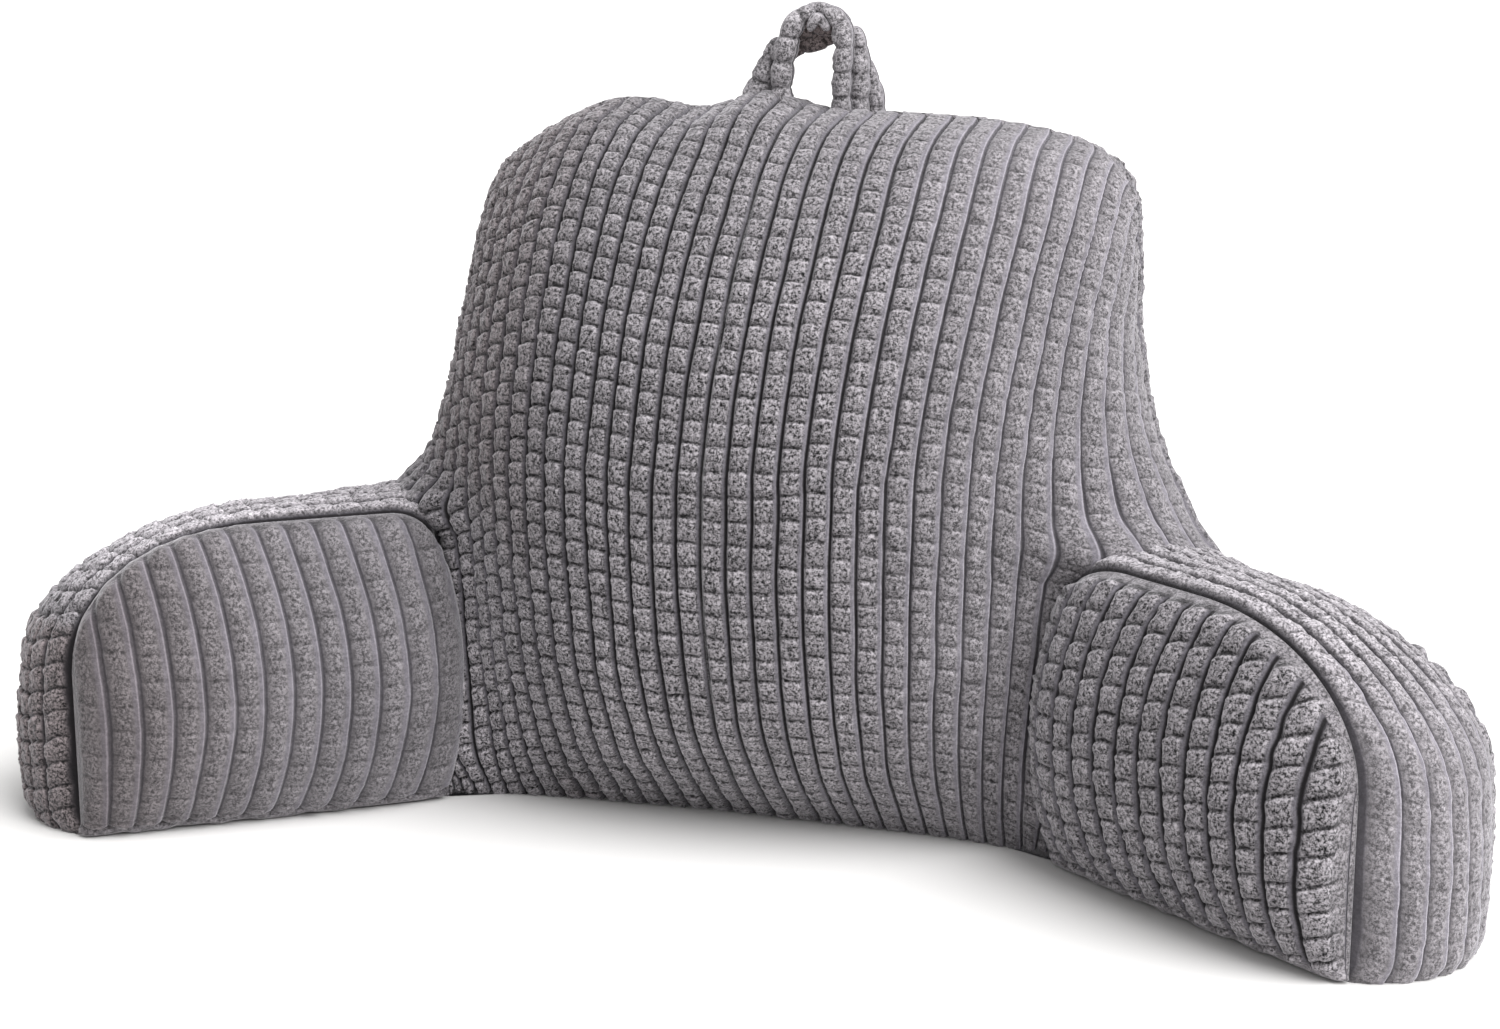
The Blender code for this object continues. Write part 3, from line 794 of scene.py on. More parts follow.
@dataclass
class Backrest:
    """The filled backrest: a ribbed front and back that meet at the side seams and over the crest.

    Sizes are in metres, places across from 0 in the middle to 1 at a side seam, and a span says
    where something starts and ends.
    """

    rib_count: int = 36
    wide: float = 0.235
    deep: float = 0.175
    round_front: float = 2.15
    round_back: float = 3.0
    round_left: float = 2.45
    round_right: float = 3.7
    hub: tuple[float, float, float] = (0.0, 0.1, 0.0)
    # The foot flares over the arms, and drops there
    flare_from: float = 0.70
    flare_forward: float = 0.8
    flare_power: float = 3.0
    back_power: float = 14.0
    flare_left: float = 0.64
    flare_right: float = 1.14
    drop_front: Span = (0.70, 0.9)
    drop_back: Span = (0.94, 1.0)
    tip_drop: float = 0.011
    tip_drop_left: float = 0.3
    tip_flare: Span = (0.030, 0.070)
    # Filling beside the arms
    groove_fill: float = 0.0175
    groove_at: float = 0.92
    groove_wide: float = 0.065
    groove_foot: Span = (0.0, 0.05)
    groove_top: Span = (0.195, 0.222)
    groove_out: float = 0.45
    groove_forward: float = 0.85
    # The top leans, and has a lump, a saddle under the handle and a dip
    top_from: float = 0.25
    top_over: float = 0.15
    top_shift: float = 0.0065
    top_fall: float = 0.0025
    top_fall_wide: float = 0.060
    hump: float = 0.0085
    hump_at: float = -0.125
    hump_wide: float = 0.038
    saddle: float = 0.0085
    saddle_at: float = -0.020
    saddle_wide: float = 0.023
    saddle_up: Span = (0.425, 0.452)
    dip: float = 0.003
    dip_at: float = -0.066
    dip_wide: float = 0.022
    crest_round: float = 0.014
    # Ribs crowd to the sides, and at the top they run off over them
    crowded: float = 0.10
    half_arc: float = 0.325
    run_off_left: float = 0.20
    run_off_right: float = 0.55
    run_off_up: Span = (0.24, 0.42)
    run_off_across: Span = (0.0, 0.5)
    tuft_long: float = 0.0148
    relief: Relief = field(default_factory=lambda: Relief(scallop=0.025))
    # Near the seams and the floor the pile lies down, and over the flare it is pressed
    seam_calm: Span = (0.0, 0.006)
    seam_low: Span = (-0.001, 0.005)
    foot_calm: Span = (0.0, 0.004)
    flare_pressed: float = 0.45
    flare_pressed_from: Span = (0.03, 0.06)
    # How pale the front's pile looks, from its nap and from painted light and shade: painted light to the
    # right and the top right, painted shade on the left and near the floor, and paler at the foot and the
    # lower left corner
    nap: float = 1.06
    pale_right: float = 0.02
    pale_right_from: Span = (0.2, 0.95)
    pale_top: float = 0.14
    pale_top_up: Span = (0.30, 0.43)
    pale_top_from: Span = (-0.3, 0.6)
    pale_foot: float = 0.10
    pale_foot_up: Span = (0.11, 0.2)
    dark_floor: float = 0.14
    dark_floor_up: Span = (0.0, 0.06)
    dark_left: float = 0.22
    dark_left_from: Span = (0.2, 0.8)
    pale_corner: float = 0.6
    pale_corner_from: Span = (0.55, 0.9)
    pale_corner_up: Span = (0.1, 0.25)
    # Its tufts are cut deeper and lean to the left, and are brushed flat to the right and the top
    cut_least: float = 0.32
    cut_left: float = 0.63
    cut_from: Span = (-0.15, 0.7)
    lit_from: Span = (-0.15, 0.70)
    blur_right: float = 0.5
    blur_right_from: Span = (0.25, 0.8)
    blur_top: float = 0.2
    blur_top_up: Span = (0.36, 0.44)
    tilt_left: float = 0.45
    tilt_right: float = 0.25
    tilt_from: Span = (0.25, 0.85)
    # front_y, front_z, back_y, back_z, seam_x, seam_y, seam_z, flare, drop
    rows: tuple[tuple[float, ...], ...] = (
        (0.036, 0.0, 0.180, 0.0, 0.2112, 0.002, 0.0, 0.0, 0.0),
        (0.004, 0.026, 0.197, 0.020, 0.2114, 0.018, 0.022, 0.0, 0.0),
        (-0.026, 0.055, 0.205, 0.050, 0.2120, 0.048, 0.052, 0.0, 0.0),
        (-0.054, 0.095, 0.209, 0.092, 0.2140, 0.082, 0.094, 0.0, 0.0),
        (-0.070, 0.140, 0.210, 0.138, 0.2170, 0.105, 0.140, 0.0, 0.0),
        (-0.077, 0.185, 0.209, 0.184, 0.2190, 0.115, 0.184, 0.010, 0.006),
        (-0.078, 0.209, 0.208, 0.208, 0.2205, 0.116, 0.2065, 0.052, 0.014),
        (-0.078, 0.217, 0.208, 0.216, 0.2210, 0.117, 0.2125, 0.064, 0.0155),
        (-0.0776, 0.228, 0.207, 0.228, 0.2215, 0.1175, 0.2225, 0.043, 0.010),
        (-0.077, 0.242, 0.206, 0.241, 0.2220, 0.118, 0.234, 0.030, 0.005),
        (-0.070, 0.278, 0.203, 0.276, 0.2220, 0.119, 0.262, 0.0140, 0.0),
        (-0.056, 0.318, 0.199, 0.314, 0.2220, 0.120, 0.292, 0.005, 0.0),
        (-0.035, 0.356, 0.195, 0.352, 0.2205, 0.121, 0.322, 0.0, 0.0),
        (-0.008, 0.392, 0.191, 0.388, 0.2190, 0.122, 0.348, 0.0, 0.0),
        (0.026, 0.422, 0.185, 0.419, 0.2170, 0.122, 0.366, 0.0, 0.0),
        (0.070, 0.444, 0.168, 0.442, 0.2150, 0.122, 0.377, 0.0, 0.0),
        (0.118, 0.452, 0.118, 0.452, 0.2135, 0.122, 0.381, 0.0, 0.0),
    )

    def even_across(self, shares: np.ndarray) -> np.ndarray:
        """Spaces places evenly over the curved front.

        Args:
            shares: Shares of the front's length from the left seam.

        Returns:
            Places across, from -1 to 1.
        """
        angles = np.linspace(-np.pi / 2, np.pi / 2, 2001)
        across = np.sign(np.sin(angles)) * np.abs(np.sin(angles)) ** (2 / self.round_front)
        forward = rounded(across, self.round_front)
        steps = np.hypot(np.diff(across) * self.wide, np.diff(forward) * self.deep)
        length = np.concatenate([[0], np.cumsum(steps)])
        return np.interp(shares, length / length[-1], across)

    def rows_up(self, half: Half, row_step: float) -> tuple[np.ndarray, list[np.ndarray]]:
        """The rows of points up one cloth.

        Args:
            half: Front or back.
            row_step: Distance between rows, in metres.

        Returns:
            How far up the cloth each row is, and the table's values there: y and z of the middle,
            x, y and z of the seam, flare and drop.
        """
        table = np.array(self.rows)
        pick = 0 if half is Half.FRONT else 2
        chord = np.hypot(np.diff(table[:, pick]), np.diff(table[:, pick + 1]))
        at = np.concatenate([[0], np.cumsum(chord)])
        fine = np.linspace(0, at[-1], int(at[-1] / row_step))
        return fine, [monotone(at, table[:, k], fine)[:, None] for k in (pick, pick + 1, 4, 5, 6, 7, 8)]

    def surface(
        self, half: Half, across: np.ndarray, table: list[np.ndarray]
    ) -> tuple[np.ndarray, np.ndarray]:
        """One cloth before its ribs are raised.

        Args:
            half: Front or back.
            across: Places of its columns across.
            table: What rows_up gives for its rows.

        Returns:
            A grid of points, and how far the foot flares at each.
        """
        front = half is Half.FRONT
        middle_y, middle_z, seam_x, seam_y, seam_z, flare, drop = table
        wide = np.abs(across)
        depth = rounded(wide, self.round_front if front else self.round_back)
        rise = np.where(across < 0, rounded(wide, self.round_left), rounded(wide, self.round_right))
        reach = np.clip((wide - self.flare_from) / (1 - self.flare_from), 0, 1)
        reach = reach ** (self.flare_power if front else self.back_power)
        flare = flare * reach * np.where(across < 0, self.flare_left, self.flare_right)
        x = across * seam_x + np.sign(across) * flare
        y = seam_y + (middle_y - seam_y) * depth - self.flare_forward * flare
        z = seam_z + (middle_z - seam_z) * rise
        z = z - drop * step_up(wide, *(self.drop_front if front else self.drop_back))
        tip_drop = self.tip_drop * np.where(across < 0, self.tip_drop_left, 1.0)
        z = z - tip_drop * step_up(flare, *self.tip_flare)
        if front:
            fill = self.groove_fill * hill(wide, self.groove_at, self.groove_wide)
            fill = fill * step_up(z, *self.groove_foot) * (1 - step_up(z, *self.groove_top))
            x = x + np.sign(across) * self.groove_out * fill
            y = y - self.groove_forward * fill
        top = np.clip((z - self.top_from) / self.top_over, 0, 1)
        x = x + self.top_shift * top
        hump = self.hump * hill(x, self.hump_at, self.hump_wide)
        saddle = self.saddle * hill(x, self.saddle_at, self.saddle_wide)
        saddle = (saddle - self.dip * hill(x, self.dip_at, self.dip_wide)) * step_up(z, *self.saddle_up)
        z = z + top * (hump - self.top_fall * np.tanh(x / self.top_fall_wide)) + saddle
        return np.stack([x, y, z], axis=2), flare

    def rib_places(self, half: Half, ribs: np.ndarray, across: np.ndarray, grid: np.ndarray) -> np.ndarray:
        """Where each point lies across the ribs.

        Args:
            half: Front or back.
            ribs: Rib places of the columns, evenly spaced.
            across: Places of the columns across.
            grid: The points.

        Returns:
            Rib places, which crowd to the sides and run off over them at the top.
        """
        middle = int(np.argmin(np.abs(ribs - self.rib_count / 2)))
        steps = np.linalg.norm(np.diff(grid, axis=1), axis=2)
        length = np.concatenate([np.zeros((len(grid), 1)), np.cumsum(steps, axis=1)], axis=1)
        length = length - length[:, middle : middle + 1]
        parallel = self.rib_count / 2 * (1 + length / self.half_arc)
        run_off = np.where(across < 0, self.run_off_left, self.run_off_right)
        run_off = run_off * step_up(grid[:, :, 2], *self.run_off_up)
        run_off = run_off * step_up(np.abs(across), *self.run_off_across)
        spaced = ribs[None, :]
        if half is Half.FRONT:
            share = 2 * spaced / self.rib_count - 1
            spaced = self.rib_count / 2 * (1 + share * (1 + self.crowded * (1 - share**2)))
        return spaced + run_off * (parallel - spaced)

    def along_ribs(self, rib_grid: np.ndarray, grid: np.ndarray) -> np.ndarray:
        """How far up its rib each point lies, measured along the rib's middle.

        Args:
            rib_grid: Where each point lies across the ribs.
            grid: The points.

        Returns:
            Lengths, scaled so that a tuft of this cloth measures TUFT_LONG.
        """
        climbs = np.linalg.norm(np.diff(grid, axis=0), axis=2)
        climbed = np.concatenate([np.zeros((1, grid.shape[1])), np.cumsum(climbs, axis=0)])
        climbed = climbed * TUFT_LONG / self.tuft_long
        return np.array([np.interp(np.floor(row) + 0.5, row, way) for row, way in zip(rib_grid, climbed)])

    def brushed(self, half: Half, across: np.ndarray, z: np.ndarray) -> Brushed:
        """How the pile is brushed: cut in tufts on the left, and flat on the right, where far flanks stand up
        to painted highlights. Its nap mark carries painted light and shade.

        Args:
            half: Front or back.
            across: Places of the columns across.
            z: Heights of the points.

        Returns:
            The brushing of the front, or the plain one of the back.
        """
        if half is Half.BACK:
            return Brushed(cut=0.35, lit=0.4, nap=1.0, sharp=0.8)
        left, right = -across, across
        nap = self.nap + self.pale_right * step_up(right, *self.pale_right_from)
        pale_top = self.pale_top * step_up(z, *self.pale_top_up)
        nap = nap + pale_top * step_up(right, *self.pale_top_from)
        nap = nap + self.pale_foot * (1 - step_up(z, *self.pale_foot_up))
        nap = nap - self.dark_floor * (1 - step_up(z, *self.dark_floor_up))
        nap = nap - self.dark_left * step_up(left, *self.dark_left_from)
        pale_corner = self.pale_corner * step_up(left, *self.pale_corner_from)
        nap = nap + pale_corner * (1 - step_up(z, *self.pale_corner_up))
        blurred = self.blur_right * step_up(right, *self.blur_right_from)
        tilt = self.tilt_left * step_up(left, *self.tilt_from)
        return Brushed(
            cut=self.cut_least + self.cut_left * step_up(left, *self.cut_from),
            lit=step_up(right, *self.lit_from),
            nap=nap,
            sharp=1.0 - blurred - self.blur_top * step_up(z, *self.blur_top_up),
            tilt=tilt - self.tilt_right * step_up(right, *self.tilt_from),
        )

    def cloth(self, half: Half, ribs: np.ndarray, row_step: float, seed: int) -> Cloth:
        """One cloth of the backrest over a range of its ribs.

        Args:
            half: Front or back.
            ribs: Rib places of its columns.
            row_step: Distance between rows of points, in metres.
            seed: Which pile pattern.

        Returns:
            The cloth, floor to crest, closed behind by a fan to a point inside the filling.
        """
        up, table = self.rows_up(half, row_step)
        across = self.even_across(ribs / self.rib_count)[None, :]
        grid, flare = self.surface(half, across, table)
        crest = step_up(up[-1] - up, 0.0, self.crest_round)[:, None]
        normals = facing(grid) * (1 if half is Half.FRONT else -1)
        normals = normals * crest[:, :, None] + np.array([0.0, 0.0, 1.0]) * (1 - crest[:, :, None])
        normals[0, :, 2] = 0
        rib_grid = self.rib_places(half, ribs, across, grid)
        to_side = np.minimum(ribs, self.rib_count - ribs)[None, :] * RIB_PITCH
        calm = crest * step_up(to_side, *self.seam_calm) * step_up(up, *self.foot_calm)[:, None]
        brushed = self.brushed(half, across, grid[:, :, 2])
        relief = self.relief.raised(rib_grid, self.along_ribs(rib_grid, grid), brushed, calm, seed)
        pressed = 1 - self.flare_pressed * step_up(flare, *self.flare_pressed_from)
        height = relief["height"] * pressed * step_up(to_side, *self.seam_low)
        points = grid + normals * height[:, :, None]
        points[:, :, 2] = np.maximum(points[:, :, 2], 0)
        shape = rib_grid.shape
        rim = rim_of(*shape)
        fan = np.stack([np.roll(rim, -1), rim, np.full_like(rim, rib_grid.size)], axis=1)
        return Cloth.shaped(points, relief, np.array([self.hub]), [grid_faces(*shape), fan])

    def build(self) -> list[bpy.types.Object]:
        """Makes the front in two pieces, parted in a valley, and the back in one.

        Returns:
            The three pieces.
        """
        middle, last = self.rib_count // 2, self.rib_count
        made = []
        for name, low, high, half, per_rib, row_step, seed in (
            ("backrest_front_left", 0, middle, Half.FRONT, 15, 0.00162, 3),
            ("backrest_front_right", middle, last, Half.FRONT, 15, 0.00162, 3),
            ("backrest_back", 0, last, Half.BACK, 9, 0.0026, 41),
        ):
            ribs = np.linspace(low, high, (high - low) * per_rib + 1)
            cloth = self.cloth(half, ribs, row_step, seed)
            made.append(cloth.sewn(name, BACKREST_PLUSH, "backrest_plush", "backrest", 0.9))
        return made


@dataclass(frozen=True)
class BandBrush:
    """How an arm's band is cut and brushed: on its sides, and how much more on its top. Its nap mark carries
    painted light and shade.
    """

    cut: Span
    lit: Span
    nap: Span
    sharp: Span

    def at(self, upper: np.ndarray) -> Brushed:
        """The brushing where the band faces upwards so much, from 0 to 1."""
        spans = (self.cut, self.lit, self.nap, self.sharp)
        return Brushed(*(low + more * upper for low, more in spans))


# Painted light and shade in the nap marks: the left band's sides darker, the right band's sides paler, and
# both paler where they face upwards
BAND_BRUSHES = {
    Side.LEFT: BandBrush(cut=(0.85, 0.15), lit=(0.1, 0.0), nap=(0.80, 1.4), sharp=(1.0, -0.45)),
    Side.RIGHT: BandBrush(cut=(0.22, 0.6), lit=(0.9, -0.75), nap=(1.28, 0.6), sharp=(0.22, 0.33)),
}


@dataclass
class Arm:
    """One arm: a ribbed band round its outline, between two crowned panels.

    Sizes are in metres, and s is a share of the arm's length from the backrest to its toe.
    """

    side: Side
    join_x: float = 0.2108
    turn: float = 35.9
    length: float = 0.236
    height: float = 0.198
    band_ribs: int = 7
    band: float = 0.107
    band_arch: float = 0.7
    top_crown: float = 0.004
    toe_crown: float = 0.030
    toe_tuck: float = 0.75
    fall: float = 0.020
    fall_by: float = 0.4
    rear_slant: float = 0.20
    rear_bend: float = 3.1
    rear_foot_bend: float = 1.6
    rear_foot_high: float = 0.080
    # The rounded toe, and the rounded heel beside the inner seam
    toe_long: float = 0.130
    toe_high: float = 0.089
    toe_round: float = 2.2
    toe_foot: tuple[Span, ...] = ((1.0, 0.075), (0.997, 0.040), (0.990, 0.015), (0.965, 0.0))
    heel_long: float = 0.030
    heel_high: float = 0.024
    heel_gone_by: float = 0.35
    # The panels: their crown, their seam, and the roll along their lower edge
    inner_crown: float = 0.036
    outer_crown: float = 0.026
    crown_ends: int = 4
    crown_ends_round: float = 0.6
    crown_edges_round: float = 0.8
    crown_climb: float = 0.1
    hub: Span = (0.45, 0.4)
    panel_rim: float = 0.005
    panel_rim_wide: float = 0.004
    panel_below: float = 0.002
    overhang: float = 0.013
    overhang_fade: int = 6
    seam_low: float = 0.0012
    welt_left: float = 0.0007
    welt_right: float = 0.0026
    roll: float = 0.0055
    roll_high: float = 0.0024
    roll_lumps: float = 0.5
    roll_lump_wide: float = 0.010
    roll_seed: int = 77
    # Rib ends draw in to a seam, their middles last
    end_in: Span = (-0.002, 0.003)
    end_point: float = 0.003
    # The ribs of a panel lean and bow
    lean_rear: float = 0.0132
    lean_all: float = 0.003
    lean_fade: float = 0.060
    lean_pivot: float = 0.4
    # Where the pile lies down at the seams. Where the band faces upwards, painted shade darkens the near foot
    # of each rib; rib ends by a seam get painted shade, and the roll is drawn paler
    band_calm: float = 0.0025
    panel_calm_edge: float = 0.003
    panel_calm_end: float = 0.004
    upper_from: Span = (0.3, 1.0)
    upper_shade: float = 0.65
    upper_shade_by: Span = (0.08, 0.38)
    bare_sharp: float = 0.35
    bare_pile: float = 0.8
    edge_pile: float = 0.35
    roll_nap: float = 0.22
    # Pile patterns, and how closely points lie on the outline
    band_seed: int = 60
    panel_seed: int = 80
    inner_seed: int = 7
    band_per_rib: int = 15
    band_step: float = 0.0017
    flat_places: int = 300
    toe_places: int = 200
    foot_places: int = 60
    under_points: int = 14
    rear_points: int = 12
    relief: Relief = field(default_factory=Relief)

    def axes(self) -> tuple[np.ndarray, np.ndarray, np.ndarray]:
        """The arm's own axes.

        Returns:
            Where the arm starts, the way along it, and the way out to its outer panel.
        """
        sign, angle = self.side.value, np.radians(self.turn)
        start = np.array([sign * self.join_x, 0, 0])
        along = np.array([sign * np.cos(angle), -np.sin(angle), 0])
        return start, along, np.array([sign * np.sin(angle), np.cos(angle), 0])

    def heel_drop(self, s: np.ndarray) -> np.ndarray:
        """How far the round heel lies below the arm's top, at a share of the arm's length."""
        behind = np.clip((self.heel_long - s * self.length) / self.heel_long, 0, 1)
        return self.heel_high * (1 - np.sqrt(1 - behind**2))

    def outline_top(self, s: np.ndarray) -> np.ndarray:
        """Height of the outline at a share of the arm's length, with a square heel."""
        toe = np.clip((s * self.length - (self.length - self.toe_long)) / self.toe_long, 0, 1)
        return self.height - self.toe_high * (1 - np.sqrt(np.clip(1 - toe**self.toe_round, 0, 1)))

    def outer_fall(self, share: Any, s: np.ndarray, z: np.ndarray) -> np.ndarray:
        """How far a point lies lower for its share of the way to the outer seam."""
        return self.fall * share**2 * np.minimum(1, s / self.fall_by) * z / self.height

    def rear(self, across: Any, z: Any) -> Any:
        """Where the arm ends against the backrest, so far from its inner seam, at a height."""
        foot = np.clip(1 - z / self.rear_foot_high, 0, 1)
        return -across * (self.rear_slant + across * (self.rear_bend + self.rear_foot_bend * foot))

    def outline(self, heel: float) -> tuple[np.ndarray, np.ndarray]:
        """The arm's closed outline from its side, clockwise from the top of its rear.

        Args:
            heel: How much of the round heel it has.

        Returns:
            Shares of the arm's length, and heights.
        """
        toe_from = 1 - self.toe_long / self.length
        flat = np.linspace(0, toe_from, self.flat_places)[:-1]
        angles = np.sin(np.linspace(0, np.pi / 2, self.toe_places))
        dense = np.concatenate([flat, toe_from + (1 - toe_from) * angles])
        plain = self.outline_top(dense)
        foot_z = np.linspace(plain[-1], 0, self.foot_places)[1:]
        foot = np.array(((1.0, plain[-1]), *self.toe_foot))[::-1]
        foot_s = np.maximum(monotone(foot[:, 1], foot[:, 0], foot_z), self.toe_foot[-1][0])
        s = np.concatenate([dense, foot_s])
        z = np.concatenate([plain, foot_z])
        way = np.concatenate([[0], np.cumsum(np.hypot(np.diff(s) * self.length, np.diff(z)))])
        fine = np.linspace(0, way[-1], int(way[-1] / self.band_step))
        s, z = np.interp(fine, way, s), np.interp(fine, way, z)
        z = z - heel * self.heel_drop(s)
        under = np.linspace(s[-1], 0, self.under_points)[1:]
        rear = np.linspace(0, z[0], self.rear_points)[1:-1]
        s = np.concatenate([s, under, np.zeros(len(rear))])
        return s, np.concatenate([z, np.zeros(len(under)), rear])

    def band_cloth(self) -> Cloth:
        """Makes the ribbed band.

        Returns:
            The band with its ends closed.
        """
        start, way, outward = self.axes()
        share = np.linspace(0, 1, self.band_ribs * self.band_per_rib + 1)[:, None]
        rings = np.array([self.outline(max(0.0, 1 - k / self.heel_gone_by)) for k in share[:, 0]])
        s, z = rings[:, 0], rings[:, 1]
        ribs = share * self.band_ribs + np.zeros_like(s)
        steps = np.hypot(np.diff(s) * self.length, np.diff(z))
        along = 1.0 - np.concatenate([np.zeros((len(s), 1)), np.cumsum(steps, axis=1)], axis=1)
        ahead_s = (np.roll(s, -1, axis=1) - np.roll(s, 1, axis=1)) * self.length
        ahead_z = np.roll(z, -1, axis=1) - np.roll(z, 1, axis=1)
        size = np.maximum(np.hypot(ahead_s, ahead_z), 1e-9)
        out_s, out_z = -ahead_z / size, ahead_s / size
        shown = ((z > 0) & (s > 0)).astype(float)
        to_seam = np.minimum(ribs, self.band_ribs - ribs) * RIB_PITCH
        calm = shown * step_up(to_seam, 0.0, self.band_calm)
        upper = step_up(out_z, *self.upper_from)
        brushed = BAND_BRUSHES[self.side].at(upper)
        relief = self.relief.raised(ribs, along, brushed, calm, self.band_seed + self.side.value)
        height = relief["height"]
        # Painted shade: where the band faces upwards the pile mark falls near the foot of each rib, so its
        # valley shade widens
        near_base = 1 - step_up(relief["ribs"] % 1, *self.upper_shade_by)
        relief["pile"] = relief["pile"] * (1 - self.upper_shade * upper * near_base)
        arch = (1 - (2 * share - 1) ** 2) ** self.band_arch
        across = share * self.band
        rear = self.rear(across, z)
        swell = arch * self.toe_crown * s**3 * (1 - self.toe_tuck * (z / self.height) ** 2)
        reach = rear + s * (self.length - rear) + swell + np.where(s > 0, out_s * height, 0)
        lift = out_z * (height + arch * self.top_crown) - self.outer_fall(share, s, z)
        points = start + outward * across[:, :, None] + reach[:, :, None] * way
        points[:, :, 2] = np.maximum(z + np.where(z > 0, lift, 0), 0)
        ends, faces = closed_tube(points.reshape(-1, 3), *s.shape)
        return Cloth.shaped(points, relief, ends, faces)

    def panel_brushed(self, panel: Panel, shares: np.ndarray) -> Brushed:
        """How a panel is brushed: flat on the left arm, and in tufts on the right.

        Args:
            panel: Inner or outer.
            shares: Shares of the panel's length from the backrest.

        Returns:
            The brushing.
        """
        if self.side is Side.LEFT:
            return Brushed(cut=0.16, lit=1.0, nap=0.96 - 0.33 * shares[None, :] ** 2.5, sharp=0.28)
        return Brushed(cut=0.65, lit=0.15, nap=1.15, sharp=1.0, tilt=0.32 if panel is Panel.INNER else 0.0)

    def finish_edges(
        self, relief: dict[str, Any], ribs: np.ndarray, z: np.ndarray, to_edge: np.ndarray
    ) -> np.ndarray:
        """Draws the rib ends in to the seam, darkened there by painted shade, and rolls the lower edge.

        Args:
            relief: The panel's relief, whose marks are changed at the edges.
            ribs: Rib places of the points.
            z: Heights of the points.
            to_edge: Their distances from the seam.

        Returns:
            The height of the pile.
        """
        welt = self.welt_left if self.side is Side.LEFT else self.welt_right
        to_floor = z - self.panel_below
        to_end = np.minimum(to_edge - welt, to_floor - self.roll)
        edge = step_up(to_end - self.end_point * (2 * (ribs % 1) - 1) ** 2, *self.end_in)
        rolled = to_floor < self.roll
        bare = (to_edge < welt) | rolled
        relief["ribs"] = np.where(bare, np.floor(relief["ribs"]) + 0.5, relief["ribs"])
        relief["sharp"] = np.where(bare, self.bare_sharp, relief["sharp"])
        # Painted shade: the pile mark falls towards a seam, darkening the rib ends
        at_edge = self.edge_pile + (1 - self.edge_pile) * edge
        relief["pile"] = np.where(bare, self.bare_pile, relief["pile"] * at_edge)
        relief["nap"] = relief["nap"] + self.roll_nap * rolled
        round_roll = np.sqrt(np.clip(1 - (2 * to_floor / self.roll - 1) ** 2, 0, 1))
        lumpy = 1 + self.roll_lumps * clumps(ribs * RIB_PITCH, z, self.roll_lump_wide, self.roll_seed)
        return relief["height"] * edge + rolled * self.roll_high * round_roll * lumpy

    def panel_cloth(self, panel: Panel, per_rib: int, rows_count: int) -> Cloth:
        """A crowned D-shaped panel with upright ribs, closed behind.

        Args:
            panel: Inner or outer.
            per_rib: Columns of points to a rib.
            rows_count: Rows of points from the floor to the seam.

        Returns:
            The closed panel.
        """
        inner = panel is Panel.INNER
        start, way, outward = self.axes()
        across = -SEAM_GAP if inner else self.band + SEAM_GAP
        longest = self.length - (SEAM_GAP if inner else self.rear(self.band, self.height))
        count = round(longest / RIB_PITCH)
        shares = np.linspace(0, 1, count * per_rib + 1)
        rows = np.linspace(0, 1, rows_count)[:, None]
        top = self.outline_top(shares)
        top = top - (self.heel_drop(shares) if inner else self.outer_fall(1.0, shares, top))
        z = self.panel_below + rows * (top - self.panel_below)
        rear = SEAM_GAP if inner else self.rear(self.band, z)
        seam_s = rear + shares * (self.length - rear) + np.zeros_like(z)
        q_s, q_z = 2 * shares - 1, 2 * rows - 1
        dome = (1 - np.abs(q_s) ** self.crown_ends) ** self.crown_ends_round
        dome = dome * (1 - q_z**2) ** self.crown_edges_round
        slope = np.gradient(top, shares * longest)
        to_edge = np.minimum((top - z) / np.sqrt(1 + slope**2), (1 - shares) * longest)
        rim_deep = (self.panel_rim - self.seam_low) * step_up(to_edge, 0.0, self.panel_rim_wide)
        crown = self.seam_low + rim_deep + dome * (self.inner_crown if inner else self.outer_crown)
        lean = self.lean_all + self.lean_rear * np.exp(-shares * longest / self.lean_fade)
        s = seam_s + (1 - q_s**2) * lean * (q_z**2 - self.lean_pivot)
        if inner:
            s = s - self.overhang * (1 - q_z**2) * (1 - shares) ** self.overhang_fade
        base = np.stack([s, z, crown], axis=2)
        normals = facing(base)
        normals *= np.sign(normals[:, :, 2:3])
        mirrored = inner and self.side is Side.LEFT
        ribs = (1 - shares if mirrored else shares)[None, :] * count + np.zeros_like(z)
        to_seam = np.minimum(z - self.panel_below, top - z)
        to_side = np.minimum(ribs, count - ribs) * RIB_PITCH
        calm = step_up(to_seam, 0.0, self.panel_calm_edge) * step_up(to_side, 0.0, self.panel_calm_end)
        seed = self.panel_seed + self.side.value + self.inner_seed * inner
        brushed = self.panel_brushed(panel, shares)
        relief = self.relief.raised(ribs, z + self.crown_climb * crown, brushed, calm, seed)
        height = self.finish_edges(relief, ribs, z, to_edge)
        front = (base + normals * height[:, :, None]).reshape(-1, 3)
        rim = rim_of(*z.shape)
        back = np.stack([seam_s, z, np.zeros_like(z)], axis=2).reshape(-1, 3)[rim]
        hub = [[self.length * self.hub[0], self.height * self.hub[1], 0.0]]
        local = np.concatenate([front, back, hub])
        crowned = -outward if inner else outward
        points = start + outward * across + local[:, :1] * way + local[:, 2:] * crowned
        points[:, 2] = local[:, 1]
        first = z.size
        ring = np.arange(len(rim))
        after = np.roll(ring, -1)
        wall = np.stack([rim[after], rim, first + ring, first + after], axis=1)
        fan = np.stack([first + after, first + ring, np.full(len(rim), first + len(rim))], axis=1)
        return Cloth.shaped(points[:first], relief, points[first:], [grid_faces(*z.shape), wall, fan])

